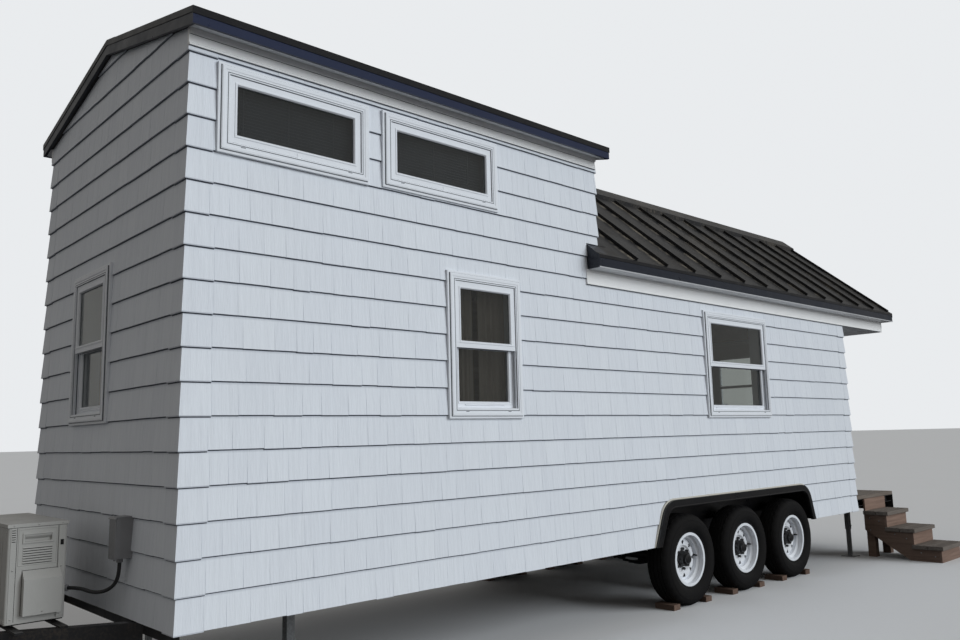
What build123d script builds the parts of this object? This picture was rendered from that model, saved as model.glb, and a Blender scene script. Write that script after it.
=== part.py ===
"""Tiny house on a three-axle trailer, in millimetres.

x runs from the tongue jack (x = 0) to the porch, y across (the near side is -y), z up from the ground.
"""

from build123d import *
from math import atan, cos, pi, radians, sqrt, tan
import os

os.makedirs("parts", exist_ok=True)

# House body
front_x = 1050
body_length = 7780
body_width = 2450
tower_length = 3400
porch_length = 1090
siding_bottom = 530
wall_thickness = 140
cladding_depth = 14
skirt_thickness = 30
floor_thickness = 120
gable_thickness = 100
porch_ceiling_thickness = 120

# Roofs, with depths measured straight down
tower_ridge_top = 4058
tower_slope_ratio = 0.24
tower_roof_depth = 89
tower_eave = 120
tower_rake = 30
ridge_step = 90
main_slope_ratio = 0.8436
main_roof_depth = 186
main_eave = 118
main_rake = 60
eave_box_height = 100
eave_box_lead = 150
soffit_thickness = 20
fascia_thickness = 18
fascia_drop = 8
seam_pitch = 424
seam_lead = 354
seam_width = 12
seam_height = 26
ridge_cap_leg = 150
ridge_cap_thickness = 8

# Frieze boards under the eaves
frieze_depth = 18
tower_frieze_height = 100
main_frieze_lead = 170
main_frieze_height = 120

# Windows: centre along the wall, its drop below the ridge, width and height over the trim
window_trim = 45
window_proud = 34
window_lap = 30
sash_rail = 48
meeting_rail = 42
sash_thickness = 32
sash_setback = 8
glass_thickness = 6
picture_drops = ((665, 786, 961, 479), (1770, 778, 970, 470))
tall_drop = (2125, 1994, 650, 948)
rear_side_drop = (5405, 1909, 1090, 940)
end_drop = (165, 1983, 640, 940)

# Entrance door in the rear wall
door_y = 100
door_width = 812
door_headroom = 4
door_thickness = 45
door_gap = 3
door_stop = 12
jamb_thickness = 30
casing_width = 80
casing_thickness = 20
threshold_height = 25
lite_width = 560
lite_head = 183
lite_height = 700
lite_bar = 30
lever_height = 1000
lever_length = 110
lever_stand = 45
lever_rod = 9
rose_radius = 26

# Wheel arch in the side cladding, along the house from its front
arch_foot_front = 3943
arch_head_front = 4105
arch_head_rear = 6590
arch_foot_rear = 6704
arch_top = 888
arch_radius = 190
fender_clearance = 0.3
fender_sheet = 6
fender_lip = 62
fender_lip_thickness = 26
fender_proud = 22
fender_inner_y = 950
well_sheet = 18
well_headroom = 14
well_inner_y = 915

# Trailer frame
frame_top = 640
rail_depth = 180
rail_flange = 100
rail_web = 8
rail_flange_thickness = 11
rail_y = 700
side_rail_depth = 75
side_rail_width = 60
channel_thickness = 6
header_width = 60
cross_depth = 80
cross_width = 45
first_cross = 750
cross_pitch = 900
deck_thickness = 40
deck_inset = 20

# Tongue, coupler and jacks
tongue_front_x = -120
tongue_top = 520
tongue_depth = 120
tongue_width = 60
tongue_front_y = 115
tongue_rear_y = 725
coupler_plate = 10
coupler_reach = 230
coupler_nose_radius = 46
ball_radius = 29.6
ball_z = 465
jack_tube = 57
jack_inner = 45
jack_bottom = 320
jack_top = 900
jack_plate_width = 180
jack_foot_thickness = 8
crank_length = 160
crank_rod = 14
corner_jack_tube = 50
corner_jack_inner = 40
corner_jack_split = 300
corner_jack_foot = 150
corner_jack_y = 1010

# Wheels, axles and springs
first_axle = 4460
axle_pitch = 905
wheel_z = 380
tyre_radius = 380
tyre_width = 225
tyre_shoulder = 28
tyre_side = 12
tyre_crown = 24
tread_groove = 9
groove_count = 4
rim_radius = 203
rim_flange_radius = 221
rim_width = 178
rim_sheet = 5
rim_well_depth = 24
rim_slope = 14
bead_seat = 40
disc_sheet = 7
disc_face = -5
disc_crown = 14
hub_flat_radius = 98
hand_hole_radius = 139
hand_hole_size = 27
hand_hole_corner = 7
spoke_count = 8
hub_radius = 60
hub_length = 46
hub_cap_radius = 40
hub_cap_length = 28
hub_cap_fillet = 14
spindle_reach = 30
lug_circle_radius = 82.5
lug_radius = 12
lug_length = 24
drum_radius = 158
drum_width = 70
spindle_radius = 24
spindle_clearance = 0.1
axle_radius = 38
backing_thickness = 6
backing_gap = 5
bead_clearance = 0.3
spring_length = 640
spring_width = 60
leaf_thickness = 8
leaf_count = 4
spring_eye_z = 405
spring_eye_radius = 20
spring_bolt_radius = 8
spring_seat = 8
seat_clearance = 0.4
seat_width = 50
hanger_thickness = 8
hanger_width = 70

# Stair and chocks
stair_lead = 220
stair_width = 560
stair_rise = 170
stair_run = 270
tread_thickness = 42
tread_nosing = 25
stringer_thickness = 38
riser_thickness = 20
stringer_depth = 170
stringer_foot_length = 300
stair_post = 85
chock_height = 45
chock_length = 90
chock_width = 190
chock_gap = 6

# Outdoor unit, disconnect box and whip
unit_gap = 255
unit_depth = 290
unit_width = 800
unit_bottom = 550
unit_height = 505
unit_corner = 14
unit_sheet = 22
handle_drop = 75
handle_width = 130
handle_height = 34
cover_lift = 40
cover_start = 75
foot_y = 290
fan_radius = 225
fan_recess = 40
fan_hub_radius = 55
grille_wire = 3
grille_rings = 7
grille_spokes = 8
unit_cover_height = 225
unit_cover_width = 185
unit_cover_depth = 45
support_thickness = 10
support_width = 40
support_y = 540
foot_width = 60
box_y = -585
box_width = 95
box_depth = 80
box_bottom = 848
box_height = 218
whip_radius = 10
gland_radius = 16
gland_length = 22
whip_end_x = 819
whip_end_y = -354
whip_end_z = 692

# Places worked out from the sizes above
half_width = body_width / 2
main_ridge_top = tower_ridge_top - ridge_step
wall_y = half_width - cladding_depth
inner_y = wall_y - wall_thickness
skirt_y = wall_y - skirt_thickness
front_wall_x = front_x + cladding_depth
front_inner_x = front_wall_x + wall_thickness
rear_x = front_x + body_length
rear_wall_x = rear_x - cladding_depth
rear_inner_x = rear_wall_x - wall_thickness
cheek_x = front_x + tower_length - cladding_depth
porch_end_x = rear_x + porch_length
gable_x = porch_end_x - cladding_depth
gable_inner_x = gable_x - gable_thickness
floor_top = frame_top + floor_thickness
deck_top = frame_top + deck_thickness
header_x = front_wall_x + skirt_thickness
frame_end_x = porch_end_x - deck_inset
sides = (-1, 1)
standing = (Align.CENTER, Align.CENTER, Align.MIN)


def tower_under(y):
    """Height of the raised roof's underside at a distance y from the ridge."""
    return tower_ridge_top - tower_roof_depth - tower_slope_ratio * abs(y)


def tower_over(y):
    """Height of the raised roof's top."""
    return tower_ridge_top - tower_slope_ratio * abs(y)


def main_under(y):
    """Height of the main roof's underside."""
    return main_ridge_top - main_roof_depth - main_slope_ratio * abs(y)


def main_over(y):
    """Height of the main roof's top."""
    return main_ridge_top - main_slope_ratio * abs(y)


def hung(window, ridge):
    """Window with its height measured down from a ridge, as its height above the ground."""
    along, drop, width, tall = window
    return (along, ridge - drop, width, tall)


# The main roof's eaves, the porch ceiling, the windows and the door follow the ridges
main_board_y = half_width + main_eave - fascia_thickness
main_edge_y = main_board_y + fascia_thickness
eave_box_bottom = main_over(main_edge_y) - eave_box_height
porch_ceiling_z = eave_box_bottom - main_frieze_height
picture_windows = [hung(window, tower_ridge_top) for window in picture_drops]
tall_window = hung(tall_drop, tower_ridge_top)
rear_side_window = hung(rear_side_drop, main_ridge_top)
end_window = hung(end_drop, tower_ridge_top)
door_bottom = floor_top + threshold_height + door_gap
door_height = porch_ceiling_z - door_headroom - casing_width - door_gap - door_bottom
lite_bottom = door_bottom + door_height - lite_head - lite_height


def profile(x, points):
    """Closed outline in the cross-section plane at x, from (y, z) points."""
    with BuildSketch(Plane.YZ.offset(x)) as outline:
        with BuildLine():
            Polyline(*points, close=True)
        make_face()
    return outline.sketch


def opening(along, height, width, tall):
    """Rectangle of a rough opening, inside the trim's overlap."""
    with Locations((along, height)):
        Rectangle(width - 2 * window_lap, tall - 2 * window_lap)


def wheel_arch(inset):
    """Outline of the wheel arch, drawn inwards by inset and open to the ground side."""
    lean_front = (arch_head_front - arch_foot_front) / (arch_top - siding_bottom)
    lean_rear = (arch_foot_rear - arch_head_rear) / (arch_top - siding_bottom)
    shift_front = inset * sqrt(1 + lean_front**2) - inset * lean_front
    shift_rear = inset * sqrt(1 + lean_rear**2) - inset * lean_rear
    foot_front = (front_x + arch_foot_front + inset * sqrt(1 + lean_front**2), siding_bottom)
    head_front = (front_x + arch_head_front + shift_front, arch_top - inset)
    head_rear = (front_x + arch_head_rear - shift_rear, arch_top - inset)
    foot_rear = (front_x + arch_foot_rear - inset * sqrt(1 + lean_rear**2), siding_bottom)
    with BuildLine() as outline:
        FilletPolyline(foot_front, head_front, head_rear, foot_rear, radius=arch_radius - inset)
        Line(foot_rear, foot_front)
    return outline


# Long walls, near side
near_front_points = (
    (-wall_y, siding_bottom),
    (-wall_y, tower_under(wall_y)),
    (-inner_y, tower_under(inner_y)),
    (-inner_y, frame_top),
    (-skirt_y, frame_top),
    (-skirt_y, siding_bottom),
)
near_rear_points = (
    (-wall_y, siding_bottom),
    (-wall_y, main_under(wall_y)),
    (-inner_y, main_under(inner_y)),
    (-inner_y, frame_top),
    (-skirt_y, frame_top),
    (-skirt_y, siding_bottom),
)

with BuildPart() as near_wall_front:
    extrude(profile(front_wall_x, near_front_points), amount=cheek_x - front_wall_x)
    with BuildSketch(Plane.XZ.offset(wall_y)):
        for along, height, width, tall in (*picture_windows, tall_window):
            opening(front_x + along, height, width, tall)
    extrude(amount=-wall_thickness, mode=Mode.SUBTRACT)

with BuildPart() as near_wall_rear:
    extrude(profile(cheek_x, near_rear_points), amount=rear_wall_x - cheek_x)
    with BuildSketch(Plane.XZ.offset(wall_y)):
        along, height, width, tall = rear_side_window
        opening(front_x + along, height, width, tall)
    extrude(amount=-wall_thickness, mode=Mode.SUBTRACT)
    with BuildSketch(Plane.XZ.offset(wall_y)):
        add(wheel_arch(0).line)
        make_face()
    extrude(amount=-wall_thickness, mode=Mode.SUBTRACT)

with BuildPart() as far_wall_front:
    add(mirror(near_wall_front.part, about=Plane.XZ, mode=Mode.PRIVATE))

with BuildPart() as far_wall_rear:
    add(mirror(near_wall_rear.part, about=Plane.XZ, mode=Mode.PRIVATE))

# End walls, the cheek above the main roof and the gable over the porch
front_points = (
    (-inner_y, frame_top),
    (-inner_y, tower_under(inner_y)),
    (0, tower_under(0)),
    (inner_y, tower_under(inner_y)),
    (inner_y, frame_top),
)
end_plane = Plane(origin=(front_wall_x, 0, 0), x_dir=(0, -1, 0), z_dir=(-1, 0, 0))

with BuildPart() as front_wall:
    extrude(profile(front_wall_x, front_points), amount=wall_thickness)
    with BuildSketch(Plane.YZ.offset(front_wall_x)):
        with Locations((0, (siding_bottom + frame_top) / 2)):
            Rectangle(2 * skirt_y, frame_top - siding_bottom)
    extrude(amount=skirt_thickness)
    with BuildSketch(end_plane):
        opening(-end_window[0], end_window[1], end_window[2], end_window[3])
    extrude(amount=-wall_thickness, mode=Mode.SUBTRACT)

rear_points = (
    (-inner_y, frame_top),
    (-inner_y, main_under(inner_y)),
    (0, main_under(0)),
    (inner_y, main_under(inner_y)),
    (inner_y, frame_top),
)
door_opening_width = door_width + 2 * (door_gap + jamb_thickness)
door_opening_top = floor_top + threshold_height + door_gap + door_height + door_gap + jamb_thickness

with BuildPart() as rear_wall:
    extrude(profile(rear_inner_x, rear_points), amount=wall_thickness)
    with BuildSketch(Plane.YZ.offset(rear_inner_x)):
        with Locations((door_y, (floor_top + door_opening_top) / 2)):
            Rectangle(door_opening_width, door_opening_top - floor_top)
    extrude(amount=wall_thickness, mode=Mode.SUBTRACT)

cheek_points = (
    (-inner_y, main_under(inner_y)),
    (-inner_y, tower_under(inner_y)),
    (0, tower_under(0)),
    (inner_y, tower_under(inner_y)),
    (inner_y, main_under(inner_y)),
    (0, main_under(0)),
)

with BuildPart() as cheek_wall:
    extrude(profile(cheek_x - wall_thickness, cheek_points), amount=wall_thickness)

gable_points = (
    (-wall_y, porch_ceiling_z),
    (-wall_y, main_under(wall_y)),
    (0, main_under(0)),
    (wall_y, main_under(wall_y)),
    (wall_y, porch_ceiling_z),
)

with BuildPart() as rear_gable:
    extrude(profile(gable_inner_x, gable_points), amount=gable_thickness)

# Floor, wheel wells, porch deck and porch ceiling
well_front = front_x + arch_foot_front - well_sheet
well_rear = front_x + arch_foot_rear + well_sheet
well_length = well_rear - well_front
well_middle = (well_front + well_rear) / 2
well_outer_y = inner_y - well_inner_y + well_sheet

with BuildPart() as floor:
    with BuildSketch(Plane.XY.offset(frame_top)):
        with Locations(((front_inner_x + rear_inner_x) / 2, 0)):
            Rectangle(rear_inner_x - front_inner_x, 2 * inner_y)
        for side in sides:
            with Locations((well_middle, side * (inner_y - well_outer_y / 2))):
                Rectangle(well_length, well_outer_y, mode=Mode.SUBTRACT)
    extrude(amount=floor_thickness)

well_top = arch_top + well_headroom
with BuildPart() as wheel_wells:
    for side in sides:
        with BuildSketch(Plane.XY.offset(frame_top)):
            with Locations((well_middle, side * (inner_y - well_outer_y / 2))):
                Rectangle(well_length, well_outer_y)
        extrude(amount=well_top + well_sheet - frame_top)
    for side in sides:
        with BuildSketch(Plane.XY.offset(frame_top)):
            with Locations((well_middle, side * (inner_y - (inner_y - well_inner_y) / 2))):
                Rectangle(well_length - 2 * well_sheet, inner_y - well_inner_y)
        extrude(amount=well_top - frame_top, mode=Mode.SUBTRACT)

with BuildPart() as porch_deck:
    with BuildSketch(Plane.XY.offset(frame_top)):
        with Locations(((rear_wall_x + frame_end_x) / 2, 0)):
            Rectangle(frame_end_x - rear_wall_x, 2 * skirt_y)
    extrude(amount=deck_thickness)

with BuildPart() as porch_ceiling:
    with BuildSketch(Plane.XY.offset(porch_ceiling_z)):
        with Locations(((rear_wall_x + gable_inner_x) / 2, 0)):
            Rectangle(gable_inner_x - rear_wall_x, 2 * wall_y)
    extrude(amount=porch_ceiling_thickness)

# Raised roof: two low-pitched slopes with fascias and rake boards
tower_front_x = front_x - tower_rake
tower_rear_x = front_x + tower_length + tower_rake
tower_board_y = half_width + tower_eave - fascia_thickness
tower_slope_points = (
    (-tower_board_y, tower_under(tower_board_y)),
    (-tower_board_y, tower_over(tower_board_y)),
    (0, tower_over(0)),
    (0, tower_under(0)),
)

with BuildPart() as near_tower_roof:
    slope_run = tower_rear_x - tower_front_x - 2 * fascia_thickness
    extrude(profile(tower_front_x + fascia_thickness, tower_slope_points), amount=slope_run)

with BuildPart() as far_tower_roof:
    add(mirror(near_tower_roof.part, about=Plane.XZ, mode=Mode.PRIVATE))

tower_fascia_bottom = tower_under(tower_board_y) - fascia_drop
tower_edge_y = tower_board_y + fascia_thickness
with BuildPart() as tower_fascias:
    for side in sides:
        edge_points = (
            (side * tower_board_y, tower_fascia_bottom),
            (side * tower_board_y, tower_over(tower_board_y)),
            (side * tower_edge_y, tower_over(tower_edge_y)),
            (side * tower_edge_y, tower_fascia_bottom),
        )
        extrude(profile(tower_front_x, edge_points), amount=tower_rear_x - tower_front_x)

tower_rake_points = (
    (-tower_board_y, tower_fascia_bottom),
    (-tower_board_y, tower_over(tower_board_y)),
    (0, tower_over(0)),
    (tower_board_y, tower_over(tower_board_y)),
    (tower_board_y, tower_fascia_bottom),
    (0, tower_under(0) - fascia_drop),
)
# Main roof: steep standing-seam slopes
roof_end_x = porch_end_x + main_rake
soffit_top = eave_box_bottom + soffit_thickness
soffit_meets = (main_ridge_top - main_roof_depth - soffit_top) / main_slope_ratio
main_slope_points = (
    (-main_board_y, soffit_top),
    (-main_board_y, main_over(main_board_y)),
    (0, main_over(0)),
    (0, main_under(0)),
    (-soffit_meets, soffit_top),
)
main_angle = atan(main_slope_ratio)
slope_length = main_board_y / cos(main_angle)
slope_middle = main_board_y / 2
slope_plane = Plane(
    origin=((cheek_x + roof_end_x) / 2, -slope_middle, main_over(slope_middle)),
    x_dir=(1, 0, 0),
    z_dir=(0, -main_slope_ratio, 1),
)
cap_leg = ridge_cap_leg / cos(main_angle)
first_seam_x = front_x + tower_length + seam_lead
seam_run = roof_end_x - fascia_thickness - seam_width - first_seam_x
seam_count = int(seam_run // seam_pitch) + 1

with BuildPart() as near_main_roof:
    extrude(profile(cheek_x, main_slope_points), amount=roof_end_x - fascia_thickness - cheek_x)
    with BuildSketch(slope_plane):
        for i in range(seam_count):
            seam_x = first_seam_x + i * seam_pitch
            with Locations((seam_x - slope_plane.origin.X, -cap_leg / 2)):
                Rectangle(seam_width, slope_length - cap_leg)
    extrude(amount=seam_height)

with BuildPart() as far_main_roof:
    add(mirror(near_main_roof.part, about=Plane.XZ, mode=Mode.PRIVATE))

eave_start_x = front_x + tower_length - eave_box_lead
fascia_points = (
    (-main_board_y, soffit_top),
    (-wall_y, soffit_top),
    (-wall_y, eave_box_bottom),
    (-main_edge_y, eave_box_bottom),
    (-main_edge_y, main_over(main_edge_y)),
    (-main_board_y, main_over(main_board_y)),
)
eave_end_points = (
    (-wall_y, eave_box_bottom),
    (-main_edge_y, eave_box_bottom),
    (-main_edge_y, main_over(main_edge_y)),
    (-wall_y, main_over(wall_y)),
)
with BuildPart() as near_eave_box:
    extrude(profile(eave_start_x, eave_end_points), amount=cheek_x - eave_start_x)
    extrude(profile(cheek_x, fascia_points), amount=roof_end_x - cheek_x)

with BuildPart() as eave_boxes:
    add(near_eave_box.part)
    add(mirror(near_eave_box.part, about=Plane.XZ, mode=Mode.PRIVATE))

rake_board_points = (
    (-main_board_y, soffit_top),
    (-main_board_y, main_over(main_board_y)),
    (0, main_over(0)),
    (main_board_y, main_over(main_board_y)),
    (main_board_y, soffit_top),
    (soffit_meets, soffit_top),
    (0, main_under(0)),
    (-soffit_meets, soffit_top),
)
with BuildPart() as rake_boards:
    extrude(profile(tower_rear_x - fascia_thickness, tower_rake_points), amount=fascia_thickness)
    add(near_main_roof.part, mode=Mode.SUBTRACT)
    add(far_main_roof.part, mode=Mode.SUBTRACT)
    extrude(profile(tower_front_x, tower_rake_points), amount=fascia_thickness)
    extrude(profile(roof_end_x - fascia_thickness, rake_board_points), amount=fascia_thickness)


def ridge_cap(x, length, over, leg, lift):
    """Folded cap lying on both slopes of a ridge."""
    points = (
        (-leg, over(leg)),
        (-leg, over(leg) + lift),
        (0, over(0) + lift),
        (leg, over(leg) + lift),
        (leg, over(leg)),
        (0, over(0)),
    )
    with BuildPart() as cap:
        extrude(profile(x, points), amount=length)
    return cap.part


with BuildPart() as ridge_caps:
    tower_run = tower_rear_x - tower_front_x
    add(ridge_cap(tower_front_x, tower_run, tower_over, ridge_cap_leg, ridge_cap_thickness))
    main_lift = seam_height / cos(main_angle) + ridge_cap_thickness
    cap_start_x = tower_rear_x + ridge_cap_thickness
    add(ridge_cap(cap_start_x, roof_end_x - cap_start_x, main_over, ridge_cap_leg, main_lift))

# Frieze boards
tower_frieze_top = tower_under(wall_y + frieze_depth)
main_frieze_start = front_x + tower_length - main_frieze_lead
with BuildPart() as frieze_boards:
    for side in sides:
        board = (
            (side * wall_y, tower_frieze_top - tower_frieze_height),
            (side * wall_y, tower_frieze_top),
            (side * (wall_y + frieze_depth), tower_frieze_top),
            (side * (wall_y + frieze_depth), tower_frieze_top - tower_frieze_height),
        )
        extrude(profile(front_wall_x, board), amount=cheek_x - front_wall_x)
    for side in sides:
        board = (
            (side * wall_y, porch_ceiling_z),
            (side * wall_y, eave_box_bottom),
            (side * (wall_y + frieze_depth), eave_box_bottom),
            (side * (wall_y + frieze_depth), porch_ceiling_z),
        )
        extrude(profile(main_frieze_start, board), amount=gable_x - main_frieze_start)


# Windows, each built on a plane that lies on the outside of the bare wall and looks outwards
near_plane = Plane.XZ.offset(wall_y)
far_plane = Plane(origin=(0, wall_y, 0), x_dir=(-1, 0, 0), z_dir=(0, 1, 0))


def near_place(window):
    """Centre of a near-side window in its plane, with its width and height."""
    along, height, width, tall = window
    return (near_plane, front_x + along, height, width, tall)


def far_place(window):
    """The same window in the far wall."""
    along, height, width, tall = window
    return (far_plane, -front_x - along, height, width, tall)


end_place = (end_plane, -end_window[0], end_window[1], end_window[2], end_window[3])
picture_places = [place(w) for place in (near_place, far_place) for w in picture_windows]
tall_places = [place(w) for place in (near_place, far_place) for w in (tall_window, rear_side_window)]
tall_places.append(end_place)


def ring(plane, depth, middle, size, border, thickness):
    """Rectangular ring whose outer face lies at depth in front of the wall."""
    with BuildPart() as piece:
        with BuildSketch(plane.offset(depth)):
            with Locations(middle):
                Rectangle(*size)
                Rectangle(size[0] - 2 * border, size[1] - 2 * border, mode=Mode.SUBTRACT)
        extrude(amount=-thickness)
    return piece.part


with BuildPart() as window_frames:
    for plane, along, height, width, tall in (*picture_places, *tall_places):
        add(ring(plane, window_proud, (along, height), (width, tall), window_trim, window_proud))
        inner_size = (width - 2 * window_lap, tall - 2 * window_lap)
        jamb = window_trim - window_lap
        add(ring(plane, 0, (along, height), inner_size, jamb, wall_thickness))


def clear_size(width, tall):
    """Width and height of the clear opening inside a window's frame."""
    return (width - 2 * window_trim, tall - 2 * window_trim)


with BuildPart() as window_sashes:
    for plane, along, height, width, tall in picture_places:
        size = clear_size(width, tall)
        add(ring(plane, window_proud - sash_setback, (along, height), size, sash_rail, sash_thickness))
    for plane, along, height, width, tall in tall_places:
        clear_width, clear_tall = clear_size(width, tall)
        sash_tall = (clear_tall + meeting_rail) / 2
        middle = (along, height + (clear_tall - sash_tall) / 2)
        depth = window_proud - sash_setback
        with BuildSketch(plane.offset(depth)):
            with Locations(middle):
                Rectangle(clear_width, sash_tall)
            with Locations((middle[0], middle[1] - (sash_rail - meeting_rail) / 2)):
                glass_tall = sash_tall - sash_rail - meeting_rail
                Rectangle(clear_width - 2 * sash_rail, glass_tall, mode=Mode.SUBTRACT)
        extrude(amount=-sash_thickness)
    for plane, along, height, width, tall in tall_places:
        clear_width, clear_tall = clear_size(width, tall)
        sash_tall = (clear_tall + meeting_rail) / 2
        middle = (along, height - (clear_tall - sash_tall) / 2)
        depth = window_proud - sash_setback - sash_thickness
        with BuildSketch(plane.offset(depth)):
            with Locations(middle):
                Rectangle(clear_width, sash_tall)
            with Locations((middle[0], middle[1] + (sash_rail - meeting_rail) / 2)):
                glass_tall = sash_tall - sash_rail - meeting_rail
                Rectangle(clear_width - 2 * sash_rail, glass_tall, mode=Mode.SUBTRACT)
        extrude(amount=-sash_thickness)

# Entrance door
door_plane = Plane.YZ.offset(rear_wall_x)
door_middle = door_bottom + door_height / 2

with BuildPart() as door_frame:
    with BuildSketch(Plane.YZ.offset(rear_inner_x)):
        with Locations((door_y, (floor_top + door_opening_top) / 2)):
            Rectangle(door_opening_width, door_opening_top - floor_top)
        with Locations((door_y, (floor_top + threshold_height + door_opening_top - jamb_thickness) / 2)):
            clear_tall = door_opening_top - jamb_thickness - floor_top - threshold_height
            Rectangle(door_width + 2 * door_gap, clear_tall, mode=Mode.SUBTRACT)
    extrude(amount=wall_thickness)
    with BuildSketch(door_plane):
        with Locations((door_y, (floor_top + door_opening_top + casing_width - jamb_thickness) / 2)):
            casing_tall = door_opening_top - floor_top + casing_width - jamb_thickness
            Rectangle(door_width + 2 * (door_gap + casing_width), casing_tall)
        with Locations((door_y, (floor_top + door_opening_top - jamb_thickness) / 2)):
            clear_tall = door_opening_top - jamb_thickness - floor_top
            Rectangle(door_width + 2 * door_gap, clear_tall, mode=Mode.SUBTRACT)
    extrude(amount=casing_thickness)
    stop_size = (door_width + 2 * door_gap, door_height + 2 * door_gap)
    add(ring(door_plane, -door_thickness, (door_y, door_middle), stop_size, door_gap + door_stop, door_stop))

lite_middle = lite_bottom + lite_height / 2
with BuildPart() as entrance_door:
    with BuildSketch(door_plane):
        with Locations((door_y, door_middle)):
            Rectangle(door_width, door_height)
        with Locations((door_y, lite_middle)):
            Rectangle(lite_width, lite_height, mode=Mode.SUBTRACT)
            Rectangle(lite_width, lite_bar)
    extrude(amount=-door_thickness)
    panel_bottom = door_bottom + (door_width - lite_width) / 2
    panel_top = lite_bottom - (door_width - lite_width) / 2
    with BuildSketch(door_plane):
        with Locations((door_y, (panel_bottom + panel_top) / 2)):
            Rectangle(lite_width, panel_top - panel_bottom)
    extrude(amount=-door_thickness / 4, mode=Mode.SUBTRACT)

with BuildPart() as window_glass:
    pane_setback = (sash_thickness - glass_thickness) / 2
    for plane, along, height, width, tall in picture_places:
        clear_width, clear_tall = clear_size(width, tall)
        with BuildSketch(plane.offset(window_proud - sash_setback - pane_setback)):
            with Locations((along, height)):
                Rectangle(clear_width - 2 * sash_rail, clear_tall - 2 * sash_rail)
        extrude(amount=-glass_thickness)
    for plane, along, height, width, tall in tall_places:
        clear_width, clear_tall = clear_size(width, tall)
        sash_tall = (clear_tall + meeting_rail) / 2
        glass_tall = sash_tall - sash_rail - meeting_rail
        for up, depth in ((1, 0), (-1, sash_thickness)):
            shift = (clear_tall - sash_tall) / 2 - (sash_rail - meeting_rail) / 2
            with BuildSketch(plane.offset(window_proud - sash_setback - pane_setback - depth)):
                with Locations((along, height + up * shift)):
                    Rectangle(clear_width - 2 * sash_rail, glass_tall)
            extrude(amount=-glass_thickness)
    pane_tall = (lite_height - lite_bar) / 2
    with BuildSketch(door_plane.offset(-(door_thickness - glass_thickness) / 2)):
        for up in sides:
            with Locations((door_y, lite_middle + up * (pane_tall + lite_bar) / 2)):
                Rectangle(lite_width, pane_tall)
    extrude(amount=-glass_thickness)

lever_y = door_y + door_width / 2 - (door_width - lite_width) / 4
with BuildPart() as door_lever:
    with BuildSketch(door_plane):
        with Locations((lever_y, door_bottom + lever_height)):
            Circle(rose_radius)
    extrude(amount=lever_rod)
    with BuildSketch(door_plane):
        with Locations((lever_y, door_bottom + lever_height)):
            Circle(lever_rod)
    extrude(amount=lever_stand)
    with BuildSketch(door_plane.offset(lever_stand - lever_rod)):
        with Locations((lever_y - lever_length / 2 + lever_rod, door_bottom + lever_height)):
            Rectangle(lever_length, 2 * lever_rod)
    extrude(amount=lever_rod)

# Trailer frame
rail_bottom = frame_top - rail_depth
with BuildPart() as main_rails:
    with BuildSketch(Plane.YZ.offset(header_x + header_width)):
        for side in sides:
            with Locations((side * rail_y, frame_top - rail_depth / 2)):
                Rectangle(rail_flange, rail_depth)
            for half in sides:
                gap = (rail_flange - rail_web) / 2
                with Locations((side * rail_y + half * (rail_web + gap) / 2, frame_top - rail_depth / 2)):
                    Rectangle(gap, rail_depth - 2 * rail_flange_thickness, mode=Mode.SUBTRACT)
    extrude(amount=frame_end_x - header_x - 2 * header_width)

arch_front_x = front_x + arch_foot_front
arch_rear_x = front_x + arch_foot_rear
with BuildPart() as side_rails:
    for start, end in ((header_x + header_width, arch_front_x), (arch_rear_x, frame_end_x - header_width)):
        with BuildSketch(Plane.YZ.offset(start)):
            for side in sides:
                with Locations((side * (skirt_y - side_rail_width / 2), frame_top - side_rail_depth / 2)):
                    Rectangle(side_rail_width, side_rail_depth)
                hollow_y = skirt_y - (side_rail_width - channel_thickness) / 2
                with Locations((side * hollow_y, frame_top - side_rail_depth / 2)):
                    Rectangle(
                        side_rail_width - channel_thickness,
                        side_rail_depth - 2 * channel_thickness,
                        mode=Mode.SUBTRACT,
                    )
        extrude(amount=end - start)

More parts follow.
